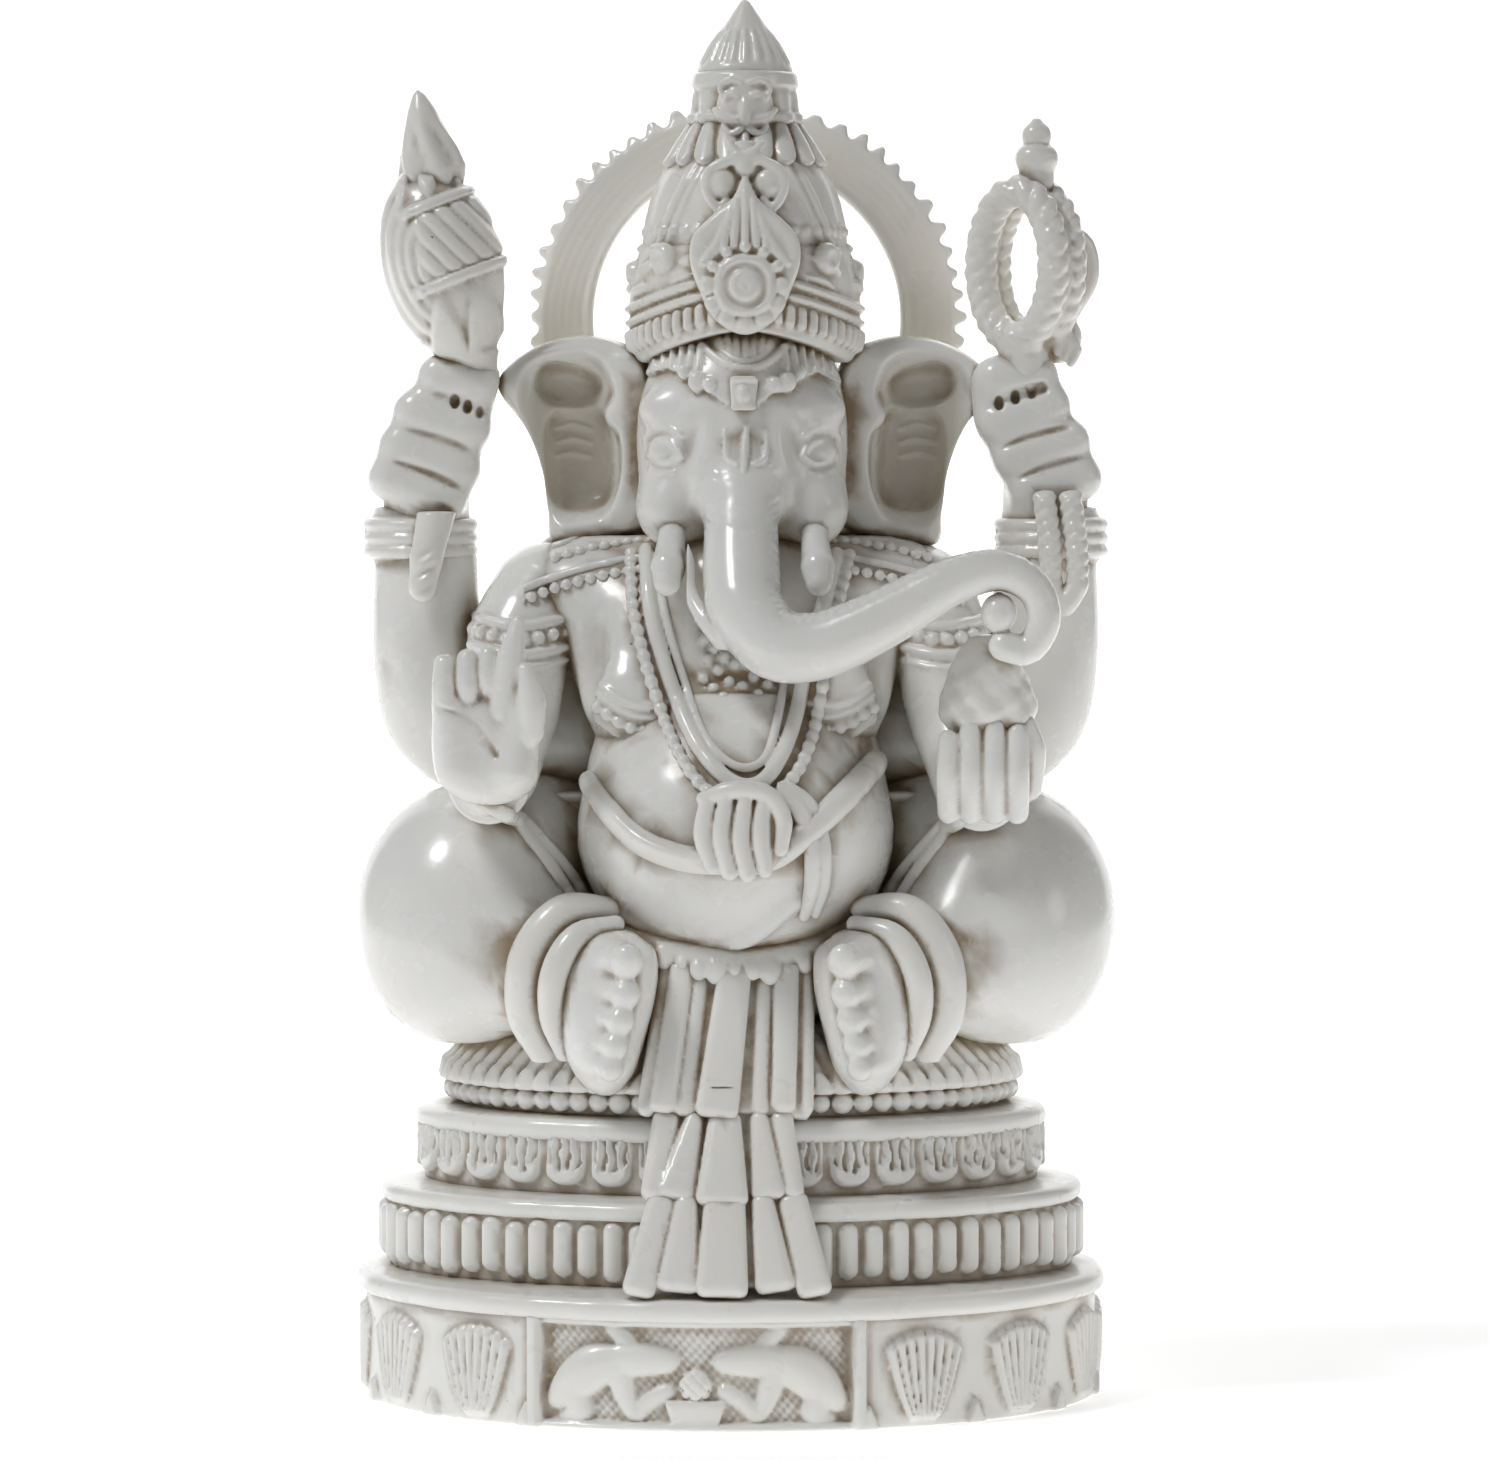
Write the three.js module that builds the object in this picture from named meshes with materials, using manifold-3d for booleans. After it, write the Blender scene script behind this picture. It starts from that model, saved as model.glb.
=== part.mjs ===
// A seated, four-armed, elephant-headed idol on an oval three-tier plinth, with a toothed halo.
// Millimetres, +Z up, +Y towards the back. The origin is under the middle of the plinth.
// "right" and "left" are the figure's own sides, so right_... lies at -X and left_... at +X.
import * as THREE from "three";
import { mergeVertices } from "three/addons/utils/BufferGeometryUtils.js";
import Module from "manifold-3d";

const wasm = await Module();
wasm.setup();

// Driving dimensions.
const HEIGHT = 150; // plinth foot to crown tip
const BASE_A = 40.7; // half width of the lowest lip
const BASE_B = 31; // half depth of the lowest lip
const BODY_X = 0.5; // middle of the torso and limbs
const HEAD_X = 1.5; // middle of the head, crown and halo, which lean a little to the left side
const GAP = 0.35; // seam between neighbouring pieces
const TURN = Math.PI / 180;
const SIDES = { right: -1, left: 1 };

// Colours of the three finishes.
const FINISH = {
  plinth: { color: 0xece8de, roughness: 0.38 },
  skin: { color: 0xf1eee6, roughness: 0.3 },
  ornament: { color: 0xeae4d6, roughness: 0.42 },
};

// ---------------------------------------------------------------- solids
// Every maker below returns a function of g: the solid with its surface moved out by g, so that
// make(0) is the piece and make(GAP) is the tool that clears room for it in its neighbours.

function solid(geometry) {
  const bare = geometry.clone();
  bare.deleteAttribute("normal");
  bare.deleteAttribute("uv");
  const merged = mergeVertices(bare, 1e-4);
  return new wasm.Manifold(
    new wasm.Mesh({
      numProp: 3,
      vertProperties: new Float32Array(merged.attributes.position.array),
      triVerts: new Uint32Array(merged.index.array),
    }),
  );
}

const placed = (geometry, at, turn = [0, 0, 0]) =>
  geometry
    .rotateX(turn[0] * TURN)
    .rotateY(turn[1] * TURN)
    .rotateZ(turn[2] * TURN)
    .translate(...at);

const join =
  (...makers) =>
  (g) =>
    makers.map((make) => make(g)).reduce((a, b) => a.add(b));

const egg =
  (at, radii, turn, facets = 10) =>
  (g) => {
    const ball = new THREE.SphereGeometry(1, facets, Math.round(facets * 0.6));
    ball.rotateX(90 * TURN).scale(...radii.map((r) => r + g));
    return solid(placed(ball, at, turn));
  };

// A round bar along a smooth curve through points [x, y, z, radius]; its thick ends are domed.
const DOMED_FROM = 2.5;
const limb =
  (points, steps = 8, sides = 6) =>
  (g) => {
    const curve = new THREE.CatmullRomCurve3(points.map(([x, y, z]) => new THREE.Vector3(x, y, z)));
    const girth = new THREE.CatmullRomCurve3(points.map(([, , , r]) => new THREE.Vector3(r, 0, 0)));
    const { normals, binormals } = curve.computeFrenetFrames(steps, false);
    const bar = new THREE.CylinderGeometry(1, 1, 1, sides, steps);
    const position = bar.attributes.position;
    for (let i = 0; i < position.count; i++) {
      const t = 0.5 - position.getY(i);
      const station = Math.round(t * steps);
      const radius = girth.getPoint(t).x + g;
      const p = curve
        .getPoint(t)
        .addScaledVector(normals[station], radius * position.getX(i))
        .addScaledVector(binormals[station], radius * position.getZ(i));
      position.setXYZ(i, p.x, p.y, p.z);
    }
    const bent = solid(bar);
    const whole = bent.volume() < 0 ? solid(flipped(bar)) : bent;
    const ends = [points[0], points[points.length - 1]].filter((point) => point[3] > DOMED_FROM);
    return ends
      .map(([x, y, z, r]) => egg([x, y, z], [r, r, r], [0, 0, 0], sides)(g))
      .reduce((a, b) => a.add(b), whole);
  };

function flipped(geometry) {
  const index = geometry.index.array;
  for (let i = 0; i < index.length; i += 3) {
    [index[i + 1], index[i + 2]] = [index[i + 2], index[i + 1]];
  }
  return geometry;
}

// An oval slab standing on the XY plane, from low to high, centred on x = 0.
const oval =
  (a, b, low, high, segments = 20) =>
  (g) => {
    const outline = new THREE.Shape().absellipse(0, 0, a + g, b + g, 0, Math.PI * 2);
    const slab = new THREE.ExtrudeGeometry(outline, {
      depth: high - low + 2 * g,
      bevelEnabled: false,
      curveSegments: segments,
    });
    return solid(slab.translate(0, 0, low - g));
  };

// A turned piece about a vertical axis at [x, y], squeezed in depth by squeeze.
const turned =
  (at, profile, squeeze = 1, segments = 20) =>
  (g) => {
    const last = profile.length - 1;
    const points = profile.map(([r, z], i) => {
      const lift = i <= 1 ? -g : i >= last - 1 ? g : 0;
      return new THREE.Vector2(r > 0 ? r + g : 0, z + lift);
    });
    const lathe = new THREE.LatheGeometry(points, segments);
    return solid(placed(lathe.rotateX(90 * TURN).scale(1, squeeze, 1), [at[0], at[1], 0]));
  };

// A plate cut from an outline in the XZ plane, from y = front to y = back.
const plate =
  (outline, front, back, segments = 10) =>
  (g) => {
    const body = new THREE.ExtrudeGeometry(outline, {
      depth: back - front,
      bevelEnabled: g > 0,
      bevelThickness: g,
      bevelSize: g,
      bevelSegments: 1,
      curveSegments: segments,
    });
    return solid(body.rotateX(90 * TURN).translate(0, back, 0));
  };

const outlineOf = (points) =>
  new THREE.Shape(
    new THREE.CatmullRomCurve3(
      points.map(([x, z]) => new THREE.Vector3(x, z, 0)),
      true,
    )
      .getPoints(points.length * 2)
      .slice(0, -1)
      .map((p) => new THREE.Vector2(p.x, p.y)),
  );

// ---------------------------------------------------------------- the pieces, in order of claim
// A piece keeps its whole shape against the ones below it in this list, which give way to it.
const pieces = [];
const piece = (name, finish, make) => pieces.push({ name, finish, make });

// Plinth: three oval tiers, each under its own lip, then a bead ring and the lotus seat.
const TIERS = [
  { name: "lower", a: BASE_A, b: BASE_B, foot: 0, lip: 11.7, top: 14.1 },
  { name: "middle", a: 38.2, b: 25.2, foot: 14.1, lip: 21.4, top: 23.4 },
  { name: "upper", a: 34.2, b: 21.6, foot: 23.4, lip: 29.3, top: 31.6 },
];
const WALL_INSET = 0.8;
for (const { name, a, b, foot, lip, top } of TIERS) {
  const clear = foot > 0 ? GAP : 0;
  piece(`plinth_${name}`, "plinth", oval(a - WALL_INSET, b - WALL_INSET, foot + clear, lip - GAP));
  piece(`lip_${name}`, "plinth", oval(a, b, lip, top));
}
const SEAT_FOOT = TIERS[2].top + GAP;
const BEAD_TOP = SEAT_FOOT + 2.2;
const SEAT_TOP = 41;
piece("bead_ring", "plinth", oval(31, 20, SEAT_FOOT, BEAD_TOP));
piece(
  "lotus_seat",
  "plinth",
  turned(
    [0, 0],
    [
      [0, BEAD_TOP + GAP],
      [30.9, BEAD_TOP + GAP],
      [30.1, 36.8],
      [28.2, 39],
      [25.2, SEAT_TOP],
      [0, SEAT_TOP],
    ],
    0.65,
    32,
  ),
);

// Torso: hips, belly, chest with two breasts, and the neck block that carries head and halo.
const BELLY_Z = 61.6;
piece("belly", "skin", egg([BODY_X, -9, BELLY_Z], [17.1, 15.4, 13.4], [0, 0, 0], 16));
piece(
  "chest",
  "skin",
  join(
    egg([BODY_X, -1, 82], [18.5, 12, 12.5], [0, 0, 0], 14),
    ...Object.values(SIDES).map((s) => egg([BODY_X + s * 10.5, -8, 76.5], [6.8, 7, 7.5])),
  ),
);
piece("hips", "skin", egg([BODY_X, 0, 53], [20, 13.5, 11.6], [0, 0, 0], 14));

// Head, with trunk and tusks.
const HEAD_Z = 103.2;
piece(
  "head",
  "skin",
  join(
    egg([HEAD_X, -4, HEAD_Z], [11.2, 10.5, 10.5], [0, 0, 0], 14),
    egg([HEAD_X, -6, 96.5], [8.6, 9, 6.8], [0, 0, 0], 12),
  ),
);
const TRUNK = [
  [HEAD_X, -12.5, 98, 4.9],
  [HEAD_X - 0.3, -17, 90.5, 3.8],
  [HEAD_X + 0.8, -20.5, 84.6, 3.5],
  [HEAD_X + 5.5, -22.5, 81.7, 3.3],
  [HEAD_X + 11, -23, 82.2, 3],
  [HEAD_X + 16.6, -23, 85.1, 2.5],
  [HEAD_X + 22.4, -23, 88.3, 2.3],
  [HEAD_X + 27, -23, 89.2, 1.9],
  [HEAD_X + 30.2, -23, 86.8, 1.6],
  [HEAD_X + 30.6, -23, 83.2, 1.5],
  [HEAD_X + 28.6, -23, 80.8, 1.5],
];
const trunkTip = egg([HEAD_X + 26.6, -22.9, 83.6], [2.1, 2.2, 3.4], [0, 8, 0], 10);
piece("trunk", "skin", join(limb(TRUNK, 20, 6), trunkTip));
for (const [side, s] of Object.entries(SIDES)) {
  const x = HEAD_X + s * 7.8;
  const tip = [x + s * 0.6, -19.6, 88, 1.3];
  piece(`${side}_tusk`, "skin", limb([[x, -13.5, 92.6, 2.1], [x + s * 0.3, -17, 90.2, 1.9], tip], 3, 6));
}

// Neck block, halo behind it and the ears in front of the halo.
piece("neck", "skin", egg([HEAD_X, 3.5, 96], [12.5, 7.5, 8.5], [0, 0, 0], 12));
for (const [side, s] of Object.entries(SIDES)) {
  const ear = [
    [9.5, 95],
    [20.5, 92.6],
    [21.8, 98],
    [23.6, 103.6],
    [26.5, 108.6],
    [23, 111.5],
    [18, 113.8],
    [12, 112.4],
    [9.2, 105],
  ].map(([d, z]) => [HEAD_X + s * d, z]);
  piece(`${side}_ear`, "skin", plate(outlineOf(ear), 0, 4.2));
}
const HALO = {
  x: HEAD_X + 0.2,
  z: 115.8,
  inner: 16.8,
  outer: 22.6,
  tooth: 1.5,
  teeth: 56,
  front: 7.8,
  back: 10.8,
};
const HALO_END = 62 * TURN; // each end of the arch, below the horizontal
function haloOutline() {
  const { x, z, inner, outer, tooth, teeth } = HALO;
  const sweep = Math.PI + 2 * HALO_END;
  const count = Math.round((teeth * sweep) / (2 * Math.PI));
  const at = (radius, turn) => new THREE.Vector2(x + radius * Math.cos(turn), z + radius * Math.sin(turn));
  const points = [];
  for (let i = 0; i <= 2 * count; i++) {
    points.push(at(i % 2 ? outer + tooth : outer, -HALO_END + (sweep * i) / (2 * count)));
  }
  const INNER_STEPS = 36;
  for (let i = INNER_STEPS; i >= 0; i--) points.push(at(inner, -HALO_END + (sweep * i) / INNER_STEPS));
  return new THREE.Shape(points);
}
piece("halo", "ornament", plate(haloOutline(), HALO.front, HALO.back));

// Crown: band, dome, petal tier, drum and pointed finial on one axis, with a leaf plate in front.
const CROWN_Y = -1;
const CROWN = {
  crown_band: [[0, 112.6], [11.4, 112.6], [13.1, 117.5], [12.4, 121], [10.5, 123.2], [0, 123.2]],
  crown_dome: [[0, 123.5], [10.9, 123.5], [10.2, 127.5], [8.6, 131.6], [0, 131.6]],
  crown_petal_tier: [[0, 132], [8.6, 132], [7.6, 134.6], [5.8, 136.4], [0, 136.4]],
  crown_drum: [[0, 136.8], [6, 136.8], [6, 141.7], [0, 141.7]],
  crown_finial: [[0, 142], [5, 142], [3.4, 145.6], [0.7, HEIGHT - 0.5], [0, HEIGHT]],
};
for (const [name, profile] of Object.entries(CROWN)) {
  piece(name, "ornament", turned([HEAD_X, CROWN_Y], profile));
}
const leaf = [
  [0, 132.2],
  [2.4, 127],
  [5.9, 121.6],
  [4.6, 115.2],
  [0, 113.4],
  [-4.6, 115.2],
  [-5.9, 121.6],
  [-2.4, 127],
].map(([d, z]) => [HEAD_X + d, z]);
piece(
  "crown_leaf_plate",
  "ornament",
  join(plate(outlineOf(leaf), -16.4, -12.5), facingDisc([HEAD_X, -16.6, 118.8], 3.4, 1.6)),
);
const pendant = [[0, 109.3], [3, 109.3], [3, 105.8], [0, 105.8]];
piece("forehead_pendant", "ornament", plate(outlineOf(pendant), -15.8, -13));

// A short round boss facing the front.
function facingDisc(at, radius, depth) {
  return (g) => {
    const disc = new THREE.CylinderGeometry(radius + g, radius + g, depth + 2 * g, 20);
    return solid(disc.translate(...at));
  };
}

// Legs: a folded leg, a foot with its toes down, and an anklet round each.
for (const [side, s] of Object.entries(SIDES)) {
  const x = (d) => BODY_X + s * d;
  const foot = [
    [x(15.4), -19, 47.5, 4.2],
    [x(13.9), -22, 42, 4],
    [x(13.4), -23.6, 36.6, 2.4],
  ];
  const anklet = [
    [x(12), -17.5, 52.2, 1.7],
    [x(17.5), -20, 51.2, 1.8],
    [x(21.4), -20, 45.5, 1.8],
    [x(20.6), -19, 39.6, 1.7],
  ];
  const shin = [
    [x(29), -8, 47, 7.6],
    [x(18.5), -15, 46.5, 6],
  ];
  const thigh = egg([x(27.1), -4, 52.3], [12, 12.8, 13.8], [0, s * 24, 0], 16);
  piece(`${side}_foot`, "skin", limb(foot, 5, 8));
  piece(`${side}_anklet`, "ornament", limb(anklet, 8, 6));
  piece(`${side}_leg`, "skin", join(thigh, limb(shin, 3, 8)));
}

// Rear arms: upper arm down to the elbow and forearm up, a cuff, then a fist round its emblem.
const FISTS = {
  right: [[-29.6, 108.7], [-31.1, 104.7], [-32.4, 100.9], [-33.4, 97]],
  left: [[30.2, 109.6], [31.7, 105], [33.4, 101.4], [35, 97.8]],
};
const FINGER_LEAN = 18;
const MACE_LEAN = -10; // the mace head tips away from the figure
const MACE_FOOT = [-27.3, -2, 110.6];
const MACE_CUP = [[0, 0], [2, 0], [3.3, 5.6], [0, 6]];
const MACE_SPIRE = [[0, 21], [3, 21], [2.7, 23.5], [0.5, 29.6], [0, 30]];
const leaning = (make) => (g) => make(g).rotate([0, MACE_LEAN, 0]).translate(MACE_FOOT);
const maceHead = join(turned([0, 0], MACE_CUP, 1, 16), egg([-1.1, 0, 12.2], [6.6, 6, 9.4], [0, 0, 0], 12));
piece("mace", "ornament", leaning(maceHead));
piece("mace_finial", "ornament", leaning(turned([0, 0], MACE_SPIRE, 1, 10)));
piece(
  "mace_handle_end",
  "ornament",
  limb([[-31.6, -6.2, 92.5, 2], [-32.6, -6.6, 89, 1.9], [-32.9, -6.6, 86, 0.9]], 3, 6),
);
const NOOSE_FINIAL = [[0, 130.6], [2, 130.6], [2.2, 133], [1.4, 134.8], [0.8, 136.6], [0, 137.2]];
const nooseScrolls = join(
  egg([37.9, 0.5, 122.5], [1.8, 2, 4.6], [0, 8, 0], 10),
  egg([36.6, 0, 114], [2.4, 2.2, 4.6], [0, 24, 0], 10),
);
piece("noose_ring", "ornament", join(noose(), nooseScrolls));
piece("noose_finial", "ornament", turned([32.9, -2], NOOSE_FINIAL, 1, 10));
const nooseCord = [
  [34.2, -6.6, 95.5, 1.3],
  [34, -7.2, 89, 1.3],
  [35.2, -7.2, 84.8, 1.4],
  [37, -7, 89, 1.3],
  [36.8, -6.4, 95.5, 1.3],
];
piece("noose_cord", "ornament", limb(nooseCord, 12, 6));
for (const [side, s] of Object.entries(SIDES)) {
  const x = (d) => BODY_X + s * d;
  const fingers = FISTS[side].map(([fx, fz]) =>
    egg([fx, -2.5, fz], [5.7, 5, 2.6], [0, -s * FINGER_LEAN, 0], 10),
  );
  piece(`${side}_rear_hand`, "skin", join(...fingers));
  const cuff = [[0, 89.2], [6.2, 89.2], [6.2, 93.6], [0, 93.6]];
  const arm = [
    [x(17), 5, 87, 6.3],
    [x(26), 4.5, 76, 6.2],
    [x(33), 2.5, 72.5, 6],
    [x(34.2), 1.5, 80, 5.8],
    [x(34), 1.5, 88.6, 5.4],
  ];
  piece(`${side}_cuff`, "ornament", turned([x(34), 1.5], cuff, 1, 16));
  piece(`${side}_rear_arm`, "skin", limb(arm, 10, 10));
}

// A tall ring of thick twisted rope, seen three-quarter on.
function noose() {
  return (g) => {
    const ring = ringOf([5.1, 8.2], [1.9 + g, 2.9 + g], 18);
    return ring.rotate([90, 0, 0]).rotate([0, 0, -28]).translate([31.2, -2, 121.6]);
  };
}

// An oval ring lying flat, with half sizes [a, b] to the middle of its bar, whose half thickness
// is wall[0] across and wall[1] upright.
function ringOf([a, b], wall, segments) {
  const BAR = 0.4;
  const ring = new THREE.TorusGeometry(1, BAR, 6, segments);
  const position = ring.attributes.position;
  for (let i = 0; i < position.count; i++) {
    const p = new THREE.Vector3().fromBufferAttribute(position, i);
    const middle = new THREE.Vector3(p.x, p.y, 0).normalize();
    const out = p.clone().sub(middle).divideScalar(BAR);
    position.setXYZ(i, middle.x * a + out.x * wall[0], middle.y * b + out.y * wall[0], out.z * wall[1]);
  }
  return solid(ring);
}

// Front arms. The right hand is raised, palm out; the left one holds a heap of sweets.
piece(
  "right_front_hand",
  "skin",
  join(
    egg([-25.4, -20.6, 70.8], [5.7, 3.1, 6.2], [0, 0, 0], 10),
    limb([[-29.8, -20.8, 72, 1.7], [-29.8, -20.6, 78.8, 1.3]], 1, 6),
    limb([[-27.2, -20.8, 73, 1.5], [-26.9, -20.4, 79.8, 1.1]], 1, 6),
    limb([[-24.6, -21, 73, 1.5], [-24.3, -21, 80.4, 1]], 1, 6),
    limb([[-21.8, -22.6, 68, 2.4], [-21.6, -22.8, 76, 1.9], [-21.6, -22, 84.2, 0.8]], 3, 6),
  ),
);
piece(
  "left_front_hand",
  "skin",
  join(
    egg([26.9, -19.6, 68], [4.9, 3.6, 5], [0, 0, 0], 10),
    ...[23.4, 25.7, 28.1, 30.3].map((fx) => limb([[fx, -22, 65.4, 1.4], [fx, -22.6, 73, 1.1]], 1, 6)),
  ),
);
piece("sweets_heap", "ornament", egg([27.1, -19.2, 75.6], [4.3, 3.6, 4.8], [0, 0, 0], 10));
const ELBOWS = {
  right: [[-22, -3, 85.5, 6.4], [-23.4, -6.5, 74, 5.2], [-24, -12, 66.8, 4.2], [-24.8, -16.5, 67, 3.6]],
  left: [[22.4, -3, 85, 6.2], [22.8, -6.5, 74, 4.8], [23.6, -11, 66.6, 4], [25.6, -15.5, 66.4, 3.4]],
};
for (const side of Object.keys(SIDES)) piece(`${side}_front_arm`, "skin", limb(ELBOWS[side], 8, 10));

// Dress and jewels, laid on the body.
const BELT_SNAKE = [
  [-17.6, -15, 70.2, 1.4],
  [-14, -19.6, 65.4, 1.6],
  [-9, -23, 61.8, 1.7],
  [-3, -25, 59.8, 1.6],
  [7, -25, 59.8, 1.5],
  [12, -22.6, 64, 1.7],
  [16.6, -17.6, 69.6, 1.4],
];
const BELT_TAIL = [
  [7.6, -24.6, 65.6, 1],
  [9.8, -25, 61, 1.3],
  [9.6, -24, 55.5, 1.2],
  [8.9, -20.8, 50.8, 1],
];
const GARLAND = [
  [-7.6, -13, 91.5, 1.7],
  [-9.2, -14.2, 86, 1.8],
  [-7.4, -17, 77, 1.9],
  [-3.6, -20.5, 69.8, 1.8],
  [2.6, -22.8, 66.6, 1.7],
  [7.6, -20.5, 70.5, 1.7],
  [9.8, -17, 77, 1.7],
  [11.4, -14.2, 86, 1.6],
];
const WAIST_BAND = [
  [-17.5, -14.6, 52.4, 1.4],
  [-9.5, -18.6, 48.4, 1.4],
  [0.5, -20.2, 46.8, 1.5],
  [10.5, -18.6, 48.2, 1.4],
  [17, -14.8, 51.6, 1.4],
];
piece("belt_snake", "ornament", limb(BELT_SNAKE, 12, 6));
piece("belt_knot", "ornament", egg([2.3, -26.4, 62], [4.7, 2.6, 4.6], [0, 0, 0], 10));
piece("belt_tail", "ornament", limb(BELT_TAIL, 8, 6));
piece("garland", "ornament", limb(GARLAND, 22, 8));
piece("collar", "ornament", collar());
piece("waist_band", "ornament", limb(WAIST_BAND, 10, 6));
for (const [side, s] of Object.entries(SIDES)) {
  const x = (d) => BODY_X + s * d;
  const shawlEnd = [
    [x(30), -13, 67, 1.4],
    [x(24.5), -15.5, 61.6, 1.8],
    [x(17.6), -17.5, 53.2, 1.3],
  ];
  piece(`${side}_shawl_end`, "ornament", limb(shawlEnd, 6, 6));
}
function collar() {
  return (g) => ringOf([18.4, 11.2], [2 + g, 2 + g], 20).translate([HEAD_X, -1.5, 89.4]);
}

// Drapery: three rows of pleats that hang from the hips over the edges of the tiers.
const DRAPE = [
  { name: "upper", low: 32, high: 46, from: [-19.6, 8.2], to: [-23.2, 8.6], depth: 3.4 },
  { name: "middle", low: 23.8, high: 31.6, from: [-23.4, 8.2], to: [-26.6, 9.4], depth: 3 },
  { name: "lower", low: 14.5, high: 23.4, from: [-27, 8.8], to: [-29.4, 11.2], depth: 3 },
];
for (const { name, low, high, from, to, depth } of DRAPE) {
  piece(`drapery_${name}`, "ornament", hanging(low, high, from, to, depth));
}
function hanging(low, high, [topY, topHalf], [footY, footHalf], depth) {
  return (g) => {
    const block = new THREE.BoxGeometry(2, depth + 2 * g, high - low + 2 * g, 10, 1, 3).toNonIndexed();
    const position = block.attributes.position;
    const PLEATS = 5;
    for (let i = 0; i < position.count; i++) {
      const u = position.getX(i);
      const t = 0.5 - position.getZ(i) / (high - low);
      const half = topHalf + (footHalf - topHalf) * t + g;
      const front = position.getY(i) < 0 ? 0.5 * Math.cos(u * PLEATS * Math.PI) : 0;
      const y = topY + (footY - topY) * t + depth / 2 + position.getY(i) + front;
      position.setXYZ(i, BODY_X + u * half, y, (low + high) / 2 + position.getZ(i));
    }
    return solid(mergeVertices(block, 1e-4));
  };
}

// ---------------------------------------------------------------- assembly
const idol = new THREE.Group();
const claimed = [];
for (const { name, finish, make } of pieces) {
  let body = make(0);
  for (const tool of claimed) {
    if (touching(body.boundingBox(), tool.boundingBox())) body = body.subtract(tool);
  }
  body = largest(body);
  claimed.push(make(GAP));
  idol.add(meshOf(name, finish, body));
}

function touching(a, b) {
  return [0, 1, 2].every((k) => a.min[k] < b.max[k] && b.min[k] < a.max[k]);
}

function largest(body) {
  return body.decompose().sort((a, b) => b.volume() - a.volume())[0];
}

function meshOf(name, finish, body) {
  const made = body.getMesh();
  const geometry = new THREE.BufferGeometry()
    .setAttribute("position", new THREE.BufferAttribute(new Float32Array(made.vertProperties), 3))
    .setIndex(new THREE.BufferAttribute(made.triVerts, 1));
  geometry.computeBoundingBox();
  const middle = geometry.boundingBox.getCenter(new THREE.Vector3());
  geometry.translate(-middle.x, -middle.y, -middle.z);
  geometry.computeVertexNormals();
  const material = new THREE.MeshStandardMaterial({ ...FINISH[finish], metalness: 0 });
  const mesh = new THREE.Mesh(geometry, material);
  mesh.name = name;
  mesh.position.copy(middle);
  return mesh;
}

export default idol;
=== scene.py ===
"""The idol's visible surface, sculpted piece by piece in signed-distance clay and turned into meshes.

Each CAD node is replaced by one sculpted piece of the same name. All clay work is in millimetres.
"right" and "left" are the figure's own sides: side -1 is its right, at -X, and side 1 its left.
"""

import math

import bpy
import numpy as np
import openvdb
from mathutils import Euler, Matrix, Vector


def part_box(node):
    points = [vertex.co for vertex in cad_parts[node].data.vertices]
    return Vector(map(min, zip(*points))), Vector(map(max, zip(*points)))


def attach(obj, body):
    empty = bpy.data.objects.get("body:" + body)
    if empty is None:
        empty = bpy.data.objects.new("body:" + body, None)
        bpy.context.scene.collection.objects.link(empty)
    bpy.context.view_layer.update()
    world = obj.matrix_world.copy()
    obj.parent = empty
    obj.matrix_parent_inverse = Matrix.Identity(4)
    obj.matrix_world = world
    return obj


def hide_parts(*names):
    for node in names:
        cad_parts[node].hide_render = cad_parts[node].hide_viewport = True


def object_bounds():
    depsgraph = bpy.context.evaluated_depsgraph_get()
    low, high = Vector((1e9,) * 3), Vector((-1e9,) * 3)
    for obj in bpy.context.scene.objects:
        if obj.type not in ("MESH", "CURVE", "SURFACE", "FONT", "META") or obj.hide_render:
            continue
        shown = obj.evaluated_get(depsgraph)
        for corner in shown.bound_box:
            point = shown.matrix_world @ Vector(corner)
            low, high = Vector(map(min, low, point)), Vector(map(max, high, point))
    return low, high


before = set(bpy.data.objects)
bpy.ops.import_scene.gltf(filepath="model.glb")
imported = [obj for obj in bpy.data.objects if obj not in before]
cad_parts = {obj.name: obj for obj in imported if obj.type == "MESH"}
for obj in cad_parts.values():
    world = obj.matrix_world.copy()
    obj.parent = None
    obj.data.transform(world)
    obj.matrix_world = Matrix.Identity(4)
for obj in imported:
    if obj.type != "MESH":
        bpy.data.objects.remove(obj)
cad_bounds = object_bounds()

MM = 0.001
STEP = 0.3  # clay grid of the broad pieces
FINE_STEP = 0.24  # clay grid of the small, detailed pieces
FAR = 6.0  # clay distances are kept within this
ADAPTIVITY = 0.06  # how far flat stretches of a surface are merged into larger faces
BODY_X = 0.5  # middle of the torso and limbs
HEAD_X = 1.5  # middle of the head, crown and halo
# How far each clay reaches past its CAD box, where that is more than 2.
ROOM = {"head": 7.0, "chest": 4.0, "collar": 4.0, "garland": 4.0, "noose_ring": 3.0}


# ---------------------------------------------------------------- clay
def soft_min(a, b, soft):
    if soft <= 0:
        return np.minimum(a, b)
    mix = np.maximum(soft - np.abs(a - b), 0) / soft
    return np.minimum(a, b) - mix * mix * soft / 4


def smooth_step(low, high, value):
    t = np.clip((value - low) / (high - low), 0, 1)
    return t * t * (3 - 2 * t)


class Shape:
    """A signed distance in millimetres, good inside the box from low to high."""

    def __init__(self, low, high, far):
        self.low = np.array(low, float)
        self.high = np.array(high, float)
        self.far = far


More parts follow.
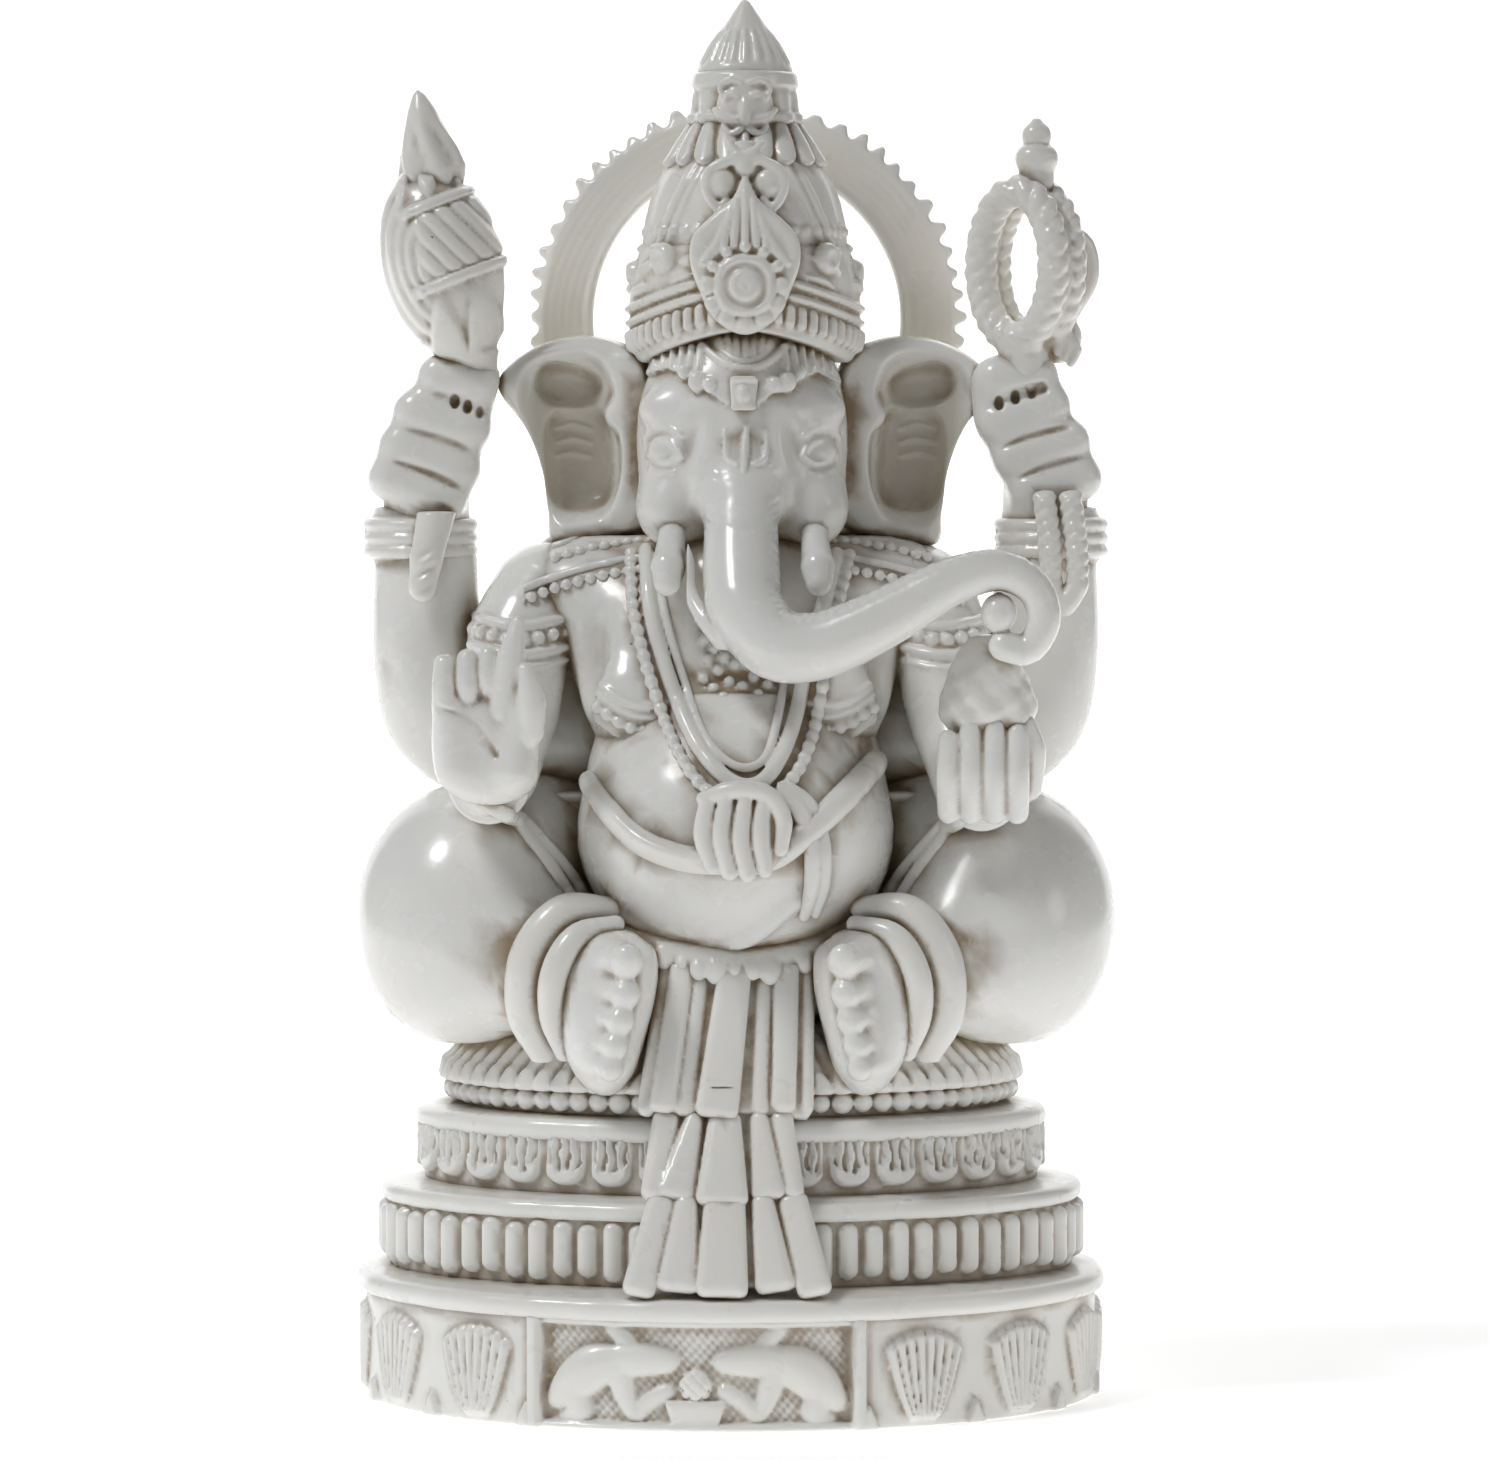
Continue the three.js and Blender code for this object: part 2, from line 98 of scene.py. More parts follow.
def egg(at, radii, turn=(0, 0, 0), power=2.0):
    """An ellipsoid; a power over 2 makes it boxier."""
    at = np.array(at, float)
    reach = np.array(radii, float) if not any(turn) else np.full(3, max(radii))
    spin = np.array(Euler([math.radians(t) for t in turn]).to_matrix())

    def far(x, y, z):
        x, y, z = x - at[0], y - at[1], z - at[2]
        if any(turn):
            x, y, z = (spin[0, k] * x + spin[1, k] * y + spin[2, k] * z for k in range(3))
        scaled = (np.abs(c) / r for c, r in zip((x, y, z), radii))
        if power == 2.0:
            size = np.sqrt(sum(c * c for c in scaled))
        else:
            size = sum(c**power for c in scaled) ** (1 / power)
        return np.sqrt(x * x + y * y + z * z) * (1 - 1 / np.maximum(size, 1e-3))

    return Shape(at - reach, at + reach, far)


def bar(a, b, radius_a, radius_b=None):
    """A round bar with domed ends."""
    a, b = np.array(a, float), np.array(b, float)
    radius_b = radius_a if radius_b is None else radius_b
    run = b - a
    squared = max(float(run @ run), 1e-9)

    def far(x, y, z):
        x, y, z = x - a[0], y - a[1], z - a[2]
        t = np.clip((x * run[0] + y * run[1] + z * run[2]) / squared, 0, 1)
        gap = (x - t * run[0]) ** 2 + (y - t * run[1]) ** 2 + (z - t * run[2]) ** 2
        return np.sqrt(gap) - (radius_a + (radius_b - radius_a) * t)

    thick = max(radius_a, radius_b)
    return Shape(np.minimum(a, b) - thick, np.maximum(a, b) + thick, far)


def strap(a, b, half_a, half_b, thick, edge=0.4, face=(0, -1, 0)):
    """A flat strap from a to b, half_a then half_b wide to each side, turned towards face."""
    a, b = np.array(a, float), np.array(b, float)
    length = float(np.linalg.norm(b - a))
    along = (b - a) / length
    normal = np.array(face, float) - along * float(np.dot(face, along))
    normal /= np.linalg.norm(normal)
    across = np.cross(along, normal)

    def far(x, y, z):
        x, y, z = x - a[0], y - a[1], z - a[2]
        t = x * along[0] + y * along[1] + z * along[2]
        u = np.abs(x * across[0] + y * across[1] + z * across[2])
        n = np.abs(x * normal[0] + y * normal[1] + z * normal[2])
        half = half_a + (half_b - half_a) * np.clip(t / length, 0, 1)
        q = (u - half + edge, n - thick + edge, np.abs(t - length / 2) - length / 2 + edge)
        outside = np.sqrt(sum(np.maximum(c, 0) ** 2 for c in q))
        inside = np.minimum(np.maximum(np.maximum(q[0], q[1]), q[2]), 0)
        return outside + inside - edge

    room = max(half_a, half_b) + thick
    return Shape(np.minimum(a, b) - room, np.maximum(a, b) + room, far)


def ring(at, radius, thick, squash=1.0):
    """A round ring that faces the front; squash narrows it across."""

    def far(x, y, z):
        out = np.sqrt(((x - at[0]) / squash) ** 2 + (z - at[2]) ** 2) - radius
        return np.sqrt(out * out + (y - at[1]) ** 2) - thick

    reach = np.array([radius + thick, thick, radius + thick])
    return Shape(np.array(at) - reach, np.array(at) + reach, far)


def smooth_path(points, spacing=0.7):
    """Even samples of the Catmull-Rom curve through points of any dimension."""
    p = np.array(points, float)
    p = np.vstack([2 * p[0] - p[1], p, 2 * p[-1] - p[-2]])
    fine = []
    for a, b, c, d in zip(p, p[1:], p[2:], p[3:]):
        for t in np.linspace(0, 1, 16, endpoint=False):
            fine.append(
                0.5 * (
                    2 * b + (c - a) * t + (
                        2 * a - 5 * b + 4 * c - d
                    ) * t**2 + (3 * b - a - 3 * c + d) * t**3
                )
            )
    fine = np.array(fine + [p[-2]])
    run = np.concatenate([[0], np.cumsum(np.linalg.norm(np.diff(fine[:, :3], axis=0), axis=1))])
    stations = np.linspace(0, run[-1], max(2, round(run[-1] / spacing) + 1))
    return np.column_stack([np.interp(stations, run, fine[:, k]) for k in range(p.shape[1])])


def mirror(points, side):
    """Points given for the left side, as (distance from the middle, ...), moved to either side."""
    return [(BODY_X + side * p[0], *p[1:]) for p in points]


class Clay:
    """A lump of clay for one node: signed distances on an even grid over the node's box."""

    def __init__(self, node, step):
        low, high = (np.array(corner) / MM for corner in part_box(node))
        room = ROOM.get(node, 2.0)
        self.node = node
        self.step = step
        self.low = low - room
        counts = np.ceil((high - low + 2 * room) / step).astype(int) + 1
        self.axes = [self.low[k] + step * np.arange(counts[k]) for k in range(3)]
        self.d = np.full(counts, FAR, np.float32)

    def grid(self):
        return tuple(
            axis.reshape([-1 if k == j else 1 for j in range(3)]) for k, axis in enumerate(self.axes)
        )

    def window(self, shape, room):
        cut = []
        for k, axis in enumerate(self.axes):
            first = int(np.searchsorted(axis, shape.low[k] - room))
            last = int(np.searchsorted(axis, shape.high[k] + room))
            cut.append(slice(first, last))
        parts = [axis[c] for axis, c in zip(self.axes, cut)]
        if min(len(part) for part in parts) == 0:
            return None, None
        return tuple(cut), tuple(
            p.reshape([-1 if k == j else 1 for j in range(3)]) for k, p in enumerate(parts)
        )

    def put(self, shape, soft=0.0):
        cut, where = self.window(shape, soft + 1.2)
        if cut:
            self.d[cut] = soft_min(self.d[cut], shape.far(*where), soft)
        return self

    def cut(self, shape, soft=0.0):
        cut, where = self.window(shape, soft + 1.2)
        if cut:
            self.d[cut] = -soft_min(-self.d[cut], shape.far(*where), soft)
        return self

    def line(self, points, soft=0.0, spacing=0.7, carve=False):
        """A smooth round line through points (x, y, z, radius), added or carved as one shape."""
        path = smooth_path(points, spacing)
        tube = np.full(self.d.shape, FAR, np.float32)
        for a, b in zip(path, path[1:]):
            shape = bar(a[:3], b[:3], a[3], b[3])
            cut, where = self.window(shape, soft + 1.2)
            if cut:
                tube[cut] = np.minimum(tube[cut], shape.far(*where))
        mixed = -soft_min(-self.d, tube, soft) if carve else soft_min(self.d, tube, soft)
        self.d = np.where(tube < FAR, mixed, self.d)
        return self

    def twist(self, points, pitch=3.0, strands=2, lay=0.5):
        """A rope of twisted strands along points (x, y, z, radius)."""
        path = smooth_path(points, pitch / 7)
        ahead = np.gradient(path[:, :3], axis=0)
        ahead /= np.linalg.norm(ahead, axis=1)[:, None]
        side = np.cross(ahead, (0, 1, 0))
        side /= np.maximum(np.linalg.norm(side, axis=1), 1e-6)[:, None]
        depth = np.cross(ahead, side)
        run = np.concatenate([[0], np.cumsum(np.linalg.norm(np.diff(path[:, :3], axis=0), axis=1))])
        self.line([(*p[:3], p[3] * 0.62) for p in path[::4]])
        for k in range(strands):
            turn = (2 * math.pi * (run / pitch + k / strands))[:, None]
            offset = (np.cos(turn) * side + np.sin(turn) * depth) * (path[:, 3] * lay)[:, None]
            strand = path[:, :3] + offset
            for a, b, r in zip(strand, strand[1:], path[:, 3] * (1 - lay)):
                self.put(bar(a, b, r), 0.15)
        return self

    def beads(self, points, radius, gap=1.05, soft=0.1):
        for p in smooth_path(points, 2 * radius * gap):
            self.put(egg(p[:3], (radius,) * 3), soft)
        return self

    def closed(self):
        """The distances with the outermost layer empty, so that the surface closes."""
        d = np.clip(self.d, -FAR, FAR)
        for k in range(3):
            edge = [slice(None)] * 3
            for end in (0, -1):
                edge[k] = end
                d[tuple(edge)] = np.maximum(d[tuple(edge)], self.step)
        return d


class FrontSkin:
    """How far forward some finished clays reach at any x and z, to lay ornaments on them."""

    def __init__(self, clays, step=0.3):
        self.low = np.min([clay.low for clay in clays], axis=0)
        high = np.max([[axis[-1] for axis in clay.axes] for clay in clays], axis=0)
        self.step = step
        self.x = np.arange(self.low[0], high[0], step)
        self.z = np.arange(self.low[2], high[2], step)
        self.y = np.full((len(self.x), len(self.z)), high[1])
        for clay in clays:
            self.add(clay)

    def add(self, clay):
        inside = clay.d < 0
        first = np.maximum(np.argmax(inside, axis=1), 1)
        here = np.take_along_axis(clay.d, first[:, None], 1)[:, 0]
        before = np.take_along_axis(clay.d, first[:, None] - 1, 1)[:, 0]
        part = np.clip(before / np.maximum(before - here, 1e-6), 0, 1)
        front = np.where(inside.any(axis=1), clay.axes[1][first - 1] + part * clay.step, self.y.max())
        ix = np.round((self.x - clay.low[0]) / clay.step).astype(int)
        iz = np.round((self.z - clay.low[2]) / clay.step).astype(int)
        fits_x = (ix >= 0) & (ix < front.shape[0])
        fits_z = (iz >= 0) & (iz < front.shape[1])
        block = np.ix_(fits_x, fits_z)
        self.y[block] = np.minimum(self.y[block], front[np.ix_(ix[fits_x], iz[fits_z])])

    def at(self, x, z):
        i = int(np.clip(round((x - self.low[0]) / self.step), 1, len(self.x) - 2))
        k = int(np.clip(round((z - self.low[2]) / self.step), 1, len(self.z) - 2))
        return float(self.y[i - 1 : i + 2, k - 1 : k + 2].mean())

    def lay(self, points, lift=0.3, spacing=1.0):
        """A curve through (x, z, radius) laid on the front, its middle lifted by that share of its radius."""
        path = smooth_path([(x, 0, z, r) for x, z, r in points], spacing)
        return [(x, self.at(x, z) - lift * r, z, r) for x, _, z, r in path]


def plate(outline, front, back, edge=0.5):
    """A plate from y = front to y = back whose outline is a closed smooth curve of (x, z) points."""
    loop = smooth_path([(x, 0, z) for x, z in outline + outline[:2]], 0.8)
    corners = loop[:, [0, 2]]
    ends = np.array(outline)
    low = np.array([ends[:, 0].min() - 1, front, ends[:, 1].min() - 1])
    high = np.array([ends[:, 0].max() + 1, back, ends[:, 1].max() + 1])

    def far(x, y, z):
        flat = outline_distance(corners, x[:, :, 0], z[0, :, :])[:, None, :]
        q = (flat + edge, np.abs(y - (front + back) / 2) - (back - front) / 2 + edge)
        outside = np.sqrt(np.maximum(q[0], 0) ** 2 + np.maximum(q[1], 0) ** 2)
        return outside + np.minimum(np.maximum(q[0], q[1]), 0) - edge

    return Shape(low, high, far)


def outline_distance(corners, x, z):
    """Signed distance in the plane to a closed run of corners, on the grid x by z."""
    best = np.full(np.broadcast(x, z).shape, 1e9)
    sign = np.ones(best.shape)
    for a, b in zip(corners, np.roll(corners, -1, axis=0)):
        run = b - a
        t = np.clip(((x - a[0]) * run[0] + (z - a[1]) * run[1]) / max(run @ run, 1e-9), 0, 1)
        best = np.minimum(best, (x - a[0] - t * run[0]) ** 2 + (z - a[1] - t * run[1]) ** 2)
        above = (z >= a[1]) != (z >= b[1])
        if abs(run[1]) > 1e-9:
            sign = np.where(above & (x < a[0] + (z - a[1]) * run[0] / run[1]), -sign, sign)
    return np.sqrt(best) * sign


# ---------------------------------------------------------------- plinth
def oval_distance(x, y, a, b):
    near = np.sqrt((x / a) ** 2 + (y / b) ** 2)
    steep = np.sqrt((x / a**2) ** 2 + (y / b**2) ** 2)
    return near * (near - 1) / np.maximum(steep, 1e-6)


def oval_run(x, y, a, b):
    """Distance round the oval from the middle of its front, and the whole way round."""
    turns = np.linspace(-math.pi, math.pi, 721)
    px, py = a * np.sin(turns), -b * np.cos(turns)
    run = np.concatenate([[0], np.cumsum(np.hypot(np.diff(px), np.diff(py)))])
    run -= run[-1] / 2
    return np.interp(np.arctan2(x / a, -y / b), turns, run), 2 * run[-1]


def slab_between(out, z, low, high, edge):
    q = (out + edge, np.abs(z - (low + high) / 2) - (high - low) / 2 + edge)
    outside = np.sqrt(np.maximum(q[0], 0) ** 2 + np.maximum(q[1], 0) ** 2)
    return outside + np.minimum(np.maximum(q[0], q[1]), 0) - edge


def node_half_sizes(node):
    low, high = (np.array(corner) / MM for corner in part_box(node))
    return (high - low) / 2, low[2], high[2]


def lip(clay):
    """A plate of the plinth with a soft, worn, rounded rim."""
    (a, b, half), low, high = node_half_sizes(clay.node)
    x, y, z = clay.grid()
    wave = 0.12 * np.sin(x * 0.31 + 1.3) * np.cos(y * 0.27) + 0.08 * np.sin(x * 0.83 - y * 0.6)
    out = oval_distance(x, y, a - 0.15, b - 0.15) + 0.12 + wave
    top = high + 0.5 * smooth_step(0, 6, -out) - 0.35
    clay.d = slab_between(out, z, low - 0.3, top, half * 0.85).astype(np.float32)


def capsule_relief(u, z, low, high, half, height):
    """A rounded upright bump, u across from its middle line."""
    reach = np.sqrt(u**2 + (z - np.clip(z, low + half, high - half)) ** 2) / half
    return height * np.sqrt(np.clip(1 - reach**2, 0, 1))


def upper_relief(around, low, high):
    """Raised panels with a rounded foot, each cut by four upright strokes."""
    panel = around / round(around / 5.1)
    stroke = panel / 4.6

    def relief(s, z):
        index = np.floor(s / panel)
        u = np.mod(s, panel) - panel / 2
        half = panel / 2 - 0.25
        foot = low + 0.5 + 1.7 * np.abs(u / half) ** 3
        face = 0.85 * smooth_step(0, 0.5, half - np.abs(u)) * smooth_step(-0.1, 0.45, z - foot)
        across = np.mod(u + panel / 2 - 0.25 * stroke, stroke) - stroke / 2
        wander = 0.16 * np.sin(index * 2.3 + z * 1.9 + np.floor((u + panel / 2) / stroke) * 2.1)
        shorter = 0.7 * np.abs(np.sin(index * 1.3 + np.floor(u / stroke) * 1.7))
        cut = capsule_relief(across + wander, z, foot + 1.1 + shorter, high + 0.6, 0.36, 0.8)
        return face - cut * smooth_step(0.2, 0.5, half - np.abs(u)) - 0.3

    return relief


def middle_relief(around, low, high):
    """A row of upright rounded bars of uneven length."""
    pitch = around / round(around / 2.75)

    def relief(s, z):
        index = np.floor(s / pitch)
        across = np.mod(s, pitch) - pitch / 2 + 0.12 * np.sin(index * 3.1)
        foot = low + 0.4 + 0.35 * np.sin(index * 1.7)
        return capsule_relief(across * 0.95, z, foot, high + 0.2 * np.sin(index * 2.3), 1.08, 1.2) - 0.45

    return relief


PANEL_MIDDLE = -3.8  # middle of the rodent panel, round the wall from the front
PANEL_HALF = 17.6
FAN = 12.6  # one lotus fan of the lower wall


def fan_relief(u, z, high):
    """Eight curved petals that spread from the middle of the foot."""
    spread = 0.5 + 4.3 * np.clip(z / 10, 0.01, 1.2) ** 0.55
    turn = u / spread
    ribs = np.abs(np.mod(turn * 4, 1) - 0.5) * 2
    blades = 0.85 * np.sqrt(np.clip(1 - ribs**2, 0, 1))
    top = high - 0.9 - 1.7 * turn**2
    blades = blades * smooth_step(0, 0.9, top - z) * smooth_step(0.3, 1.4, z)
    sprout = np.abs(FAN / 2 - np.abs(u)) - np.clip((2.6 - z) * 0.5, 0, 1.1)
    bud = 0.6 * smooth_step(0.25, -0.1, sprout) * (z < 2.6)
    return np.maximum(np.where(np.abs(turn) < 1.0, blades, 0), bud)


def lower_relief(around, low, high):
    """Lotus fans, with a sunk, stippled panel in front for the rodents."""

    def relief(s, z):
        off = s - PANEL_MIDDLE
        beyond = np.abs(off) - PANEL_HALF
        u = np.mod(beyond - 0.9, FAN) - FAN / 2
        post = 0.7 * smooth_step(0.75, 0.45, np.abs(beyond))
        sunk = smooth_step(0, 0.5, -beyond - 0.4) * smooth_step(0, 0.5, z - 0.5)
        sunk = sunk * smooth_step(0, 0.5, high - 0.25 - z)
        stipple = 0.14 * np.sin(off * 6.1 + z) * np.sin(z * 5.7 + off * 0.8)
        outside = np.where(beyond > 0.6, fan_relief(u, z, high), 0)
        return np.maximum(outside, post) + (stipple - 1.15) * sunk - 0.55

    return relief


def tier(clay, make_relief):
    (a, b, _), low, high = node_half_sizes(clay.node)
    x, y, z = clay.grid()
    run, around = oval_run(x, y, a, b)
    relief = make_relief(around, low, high)
    out = oval_distance(x, y, a, b) - relief(run, z)
    foot = low if low < 1 else low - 0.5
    clay.d = slab_between(out, z, foot, high + 0.5, 0.35).astype(np.float32)
    if low < 1:
        rodents(clay, run, oval_distance(x, y, a, b))


# Each chain: (distance from the panel's middle, height, half thickness).
RODENT = [
    (3.0, 7.3, 1.2), (6.6, 7.4, 1.75), (8.6, 7.2, 1.7), (11.2, 6.5, 2.3), (13.4, 5.0, 2.2), (15.6, 3.1, 1.3)
]
RODENT_LIMBS = [
    [(15.6, 3.4, 0.8), (16.8, 2.2, 0.5), (17.3, 1.5, 0.3)],
    [(8.4, 5.6, 1.5), (7.6, 3.0, 1.0), (6.6, 1.7, 0.85), (5.2, 3.0, 0.85), (3.2, 4.1, 0.85)],
    [(13.4, 3.4, 1.6), (13.0, 1.6, 1.3), (14.8, 1.1, 0.7)],
    [(7.0, 8.4, 0.8), (8.3, 10.0, 1.0), (9.6, 10.9, 0.75)],
]


def rodents(clay, run, out):
    """Two rodents that face each other over a bowl of sweets, in flattened relief."""
    flat = 2.4
    ix = np.abs(clay.axes[0]) < 24
    iy = clay.axes[1] < -20
    block = np.ix_(ix, iy, np.ones(len(clay.axes[2]), bool))
    s = np.abs(run[np.ix_(ix, iy, [True])] - PANEL_MIDDLE)
    depth = (out[np.ix_(ix, iy, [True])] + 1.7) * flat
    z = clay.axes[2][None, None, :]
    relief = np.full(clay.d[block].shape, FAR)
    for chain in [RODENT, *RODENT_LIMBS]:
        path = smooth_path([(m, 0, h, r) for m, h, r in chain], 0.8)
        for a, b in zip(path, path[1:]):
            relief = soft_min(
                relief, bar((a[0], 0, a[2]), (b[0], 0, b[2]), a[3], b[3]).far(s, depth / 1.6, z), 0.4
            )
    ball = egg((0, 0.4, 4.8), (1.9, 2.4, 1.8)).far(s, depth, z)
    ball = ball + 0.25 * smooth_step(
        0.6, 1, np.cos(4.4 * (z + s))
    ) + 0.25 * smooth_step(0.6, 1, np.cos(4.4 * (z - s)))
    bowl = strap((0, 0, 3.2), (0, 0, 0.3), 3.4, 2.4, 2.2, 0.5).far(s, depth, z)
    relief = np.minimum(np.minimum(relief, ball), bowl) / 1.8
    clay.d[block] = soft_min(clay.d[block], relief, 0.25)


def lotus_seat(clay):
    (a, _, _), low, high = node_half_sizes(clay.node)
    x, y, z = clay.grid()
    widths = np.interp(
        z, [low, low + 2.4, low + 4.6, low + 5.8, high], [a, a - 0.6, a - 2.4, a - 4.4, a - 7]
    )
    run, around = oval_run(x, y, a, a * 0.65)
    petal = around / round(around / 2.2)
    lean = run + 0.35 * (z - low) * np.sign(run)
    across = np.abs(np.mod(lean, petal) / petal - 0.5) * 2
    depth = 0.8 * np.sqrt(np.clip(1 - across**2, 0, 1)) - 0.55
    tips = low + 1.0 + 1.4 * (1 - across**2)
    ledge = 0.55 * smooth_step(0, 0.5, tips - z)
    out = oval_distance(x, y, widths, widths * 0.65) - depth - ledge
    clay.d = slab_between(out, z, low - 0.5, high, 0.8).astype(np.float32)


def bead_ring(clay):
    (a, b, _), low, high = node_half_sizes(clay.node)
    x, y, z = clay.grid()
    clay.d = slab_between(
        oval_distance(x, y, a - 1.5, b - 1.5), z, low - 0.5, high + 0.5, 0.3
    ).astype(np.float32)
    turns = np.linspace(0, 2 * math.pi, 78, endpoint=False)
    for k, turn in enumerate(turns):
        size = 1.12 + 0.1 * math.sin(k * 2.7)
        at = ((a - 1.1) * math.sin(turn), -(b - 1.1) * math.cos(turn), (low + high) / 2)
        clay.put(egg(at, (size, 1.1, size * 1.05)), 0.15)


# ---------------------------------------------------------------- drapery
# Each pleat: (middle, half width) at the top, then at the foot, and how far its face stands back.
PLEATS = {
    "drapery_upper": [
        ((-6.7, 0.6), (-9.0, 0.9), 1.0),
        ((-5.0, 1.0), (-7.3, 1.3), 0.0),
        ((-3.0, 0.7), (-5.0, 1.2), 0.7),
        ((0.6, 1.5), (-1.6, 2.2), -0.4),
        ((3.6, 0.7), (3.1, 0.9), 0.8),
        ((5.9, 1.1), (5.5, 1.2), 0.1),
        ((8.1, 0.5), (8.0, 0.6), 1.2),
    ],
    "drapery_middle": [
        ((-6.6, 1.2), (-8.3, 1.2), 0.3),
        ((-3.6, 0.7), (-6.0, 2.1), 0.2),
        ((-0.6, 1.4), (-0.9, 2.75), -0.4),
        ((2.9, 0.7), (4.1, 1.8), 0.2),
        ((5.2, 1.0), (6.9, 0.9), 0.3),
    ],
    "drapery_lower": [
        ((-7.0, 1.2), (-9.7, 1.7), 0.3),
        ((-4.5, 0.9), (-5.6, 2.2), 0.1),
        ((-0.6, 1.9), (-0.9, 2.7), -0.4),
        ((3.2, 0.9), (4.8, 2.1), 0.1),
        ((6.3, 1.3), (8.9, 1.8), 0.3),
    ],
}
# The front face: (y, z) at the top and at the foot.
FALLS = {
    "drapery_upper": ((-18.4, 48.2), (-23.4, 31.6)),
    "drapery_middle": ((-22.6, 32.6), (-26.6, 23.3)),
    "drapery_lower": ((-26.2, 24.4), (-29.6, 14.1)),
}


def drapery(clay):
    (top_y, top_z), (foot_y, foot_z) = FALLS[clay.node]
    pleats = PLEATS[clay.node]
    first, last = pleats[0], pleats[-1]
    clay.put(
        strap(
            ((first[0][0] + last[0][0]) / 2, top_y + 1.9, top_z),
            ((first[1][0] + last[1][0]) / 2, foot_y + 1.7, foot_z + 0.8),
            (last[0][0] - first[0][0]) / 2 + 0.2,
            (last[1][0] - first[1][0]) / 2 + 0.2,
            0.9,
        )
    )
    for k, ((top_x, top_half), (foot_x, foot_half), back) in enumerate(pleats):
        short = 0.5 * (k % 2) + (0 if foot_half > 1.6 else 0.5)
        high = np.array((top_x, top_y + back + 0.7, top_z))
        low = np.array((foot_x, foot_y + back + 0.2, foot_z))
        low = low + (high - low) * short / np.linalg.norm(high - low)
        clay.put(strap(high, low, top_half + 0.25, foot_half + 0.1, 1.2, 1.0), 0.25)
    if clay.node == "drapery_upper":
        for z in (36.2, 35.3):
            clay.cut(bar((-2.0, -23.4, z), (0.2, -23.4, z - 0.1), 0.16), 0.15)


# ---------------------------------------------------------------- legs
def leg(clay, side):
    def x(d):
        return BODY_X + side * d

    clay.put(egg((x(27.2), -4, 53.0), (12.1, 12.8, 13.4), (0, side * 20, 0)))
    clay.put(egg((x(30.0), -5, 50), (9.4, 12.0, 10.4)), 6)
    clay.line(mirror([(29, -8, 47.5, 7.6), (24, -12, 47.6, 6.8), (18.5, -15.5, 46.6, 5.8)], side), 5)
    clay.put(bar((x(21), 0, 60), (x(12), 2, 56), 7, 7), 4)


FOOT = [(11.6, 51.4), (8.6, 49.6), (8.1, 46.6), (8.8, 42.6), (10.4, 38.4), (12.2, 34.6), (14.4, 34.2)]
FOOT += [(16.4, 35.8), (18.6, 40.4), (18.6, 45.6), (16.0, 50.4)]
TOES = [(11.4, 48.6, 1.7), (11.5, 45.2, 1.5), (12.0, 42.4, 1.4), (12.6, 39.8, 1.3), (13.0, 37.4, 1.2)]


def foot(clay, side):
    """The sole faces inwards and the toes run down its front edge."""
    outline = mirror([(d, z) for d, z in FOOT], side)
    clay.put(plate(outline, -23.4, -14.6, 3.6))
    clay.put(bar(*mirror([(14.4, -17.0, 46.4), (13.4, -19.6, 38.8)], side), 4.6, 3.2), 2.0)
    clay.put(bar(*mirror([(12.4, -20.2, 47.6), (13.4, -22.4, 38.0)], side), 3.0, 2.4), 1.6)
    for d, z, r in TOES:
        tip = (BODY_X + side * d, -24.2 - (48.6 - z) * 0.06, z)
        root = (BODY_X + side * (d + 2.2), -21.6, z + 0.7)
        clay.put(bar(root, tip, r, r * 1.1), 0.8)
    big = mirror([(11.2, -25.2, 49.2)], side)[0]
    clay.put(egg(big, (1.2, 0.9, 1.2)), 0.6)


def anklet(clay, side):
    """Two nested bangles round the ankle, seen as crescents."""
    outer = [
        (13.2, -16.4, 53.6, 1.2), (18.2, -18.6, 53.2, 1.9), (21.6, -19.4, 48.6, 2.2),
        (22.0, -18.8, 42.8, 2.1),
    ]
    outer.append((20.4, -17.8, 38.4, 1.4))
    inner = [
        (12.6, -19.0, 52.0, 1.0), (16.6, -21.0, 50.9, 1.4), (18.9, -22.0, 47.2, 1.5),
        (19.2, -21.2, 42.6, 1.4),
    ]
    inner.append((18.0, -19.8, 38.6, 1.0))
    clay.line(mirror(outer, side), 0.2)
    clay.line(mirror(inner, side), 0.3)


# ---------------------------------------------------------------- torso
MIDRIFF = egg((BODY_X, -6.4, 70.5), (14.6, 11.4, 9.5))  # shared by the belly and the chest


def belly(clay):
    clay.put(egg((BODY_X, -9, 61.0), (16.9, 15.4, 14.0), power=2.1))
    clay.put(MIDRIFF, 5)
    # the soft edge of the thin cloth that wraps the belly
    skin = FrontSkin([clay])
    clay.line(
        skin.lay(
            [(-12.6, 53.6, 0.5), (-8, 50.6, 0.5), (-3, 49.4, 0.5), (2, 50.4, 0.5), (6.6, 54.4, 0.5)], 0.1
        ),
        1.3,
    )
    clay.line(
        skin.lay(
            [(-13.4, 51.6, 0.3), (-8, 48.6, 0.4), (0, 47.2, 0.4), (8, 48.8, 0.4), (13.6, 52, 0.3)], 0.1
        ),
        1.0,
    )


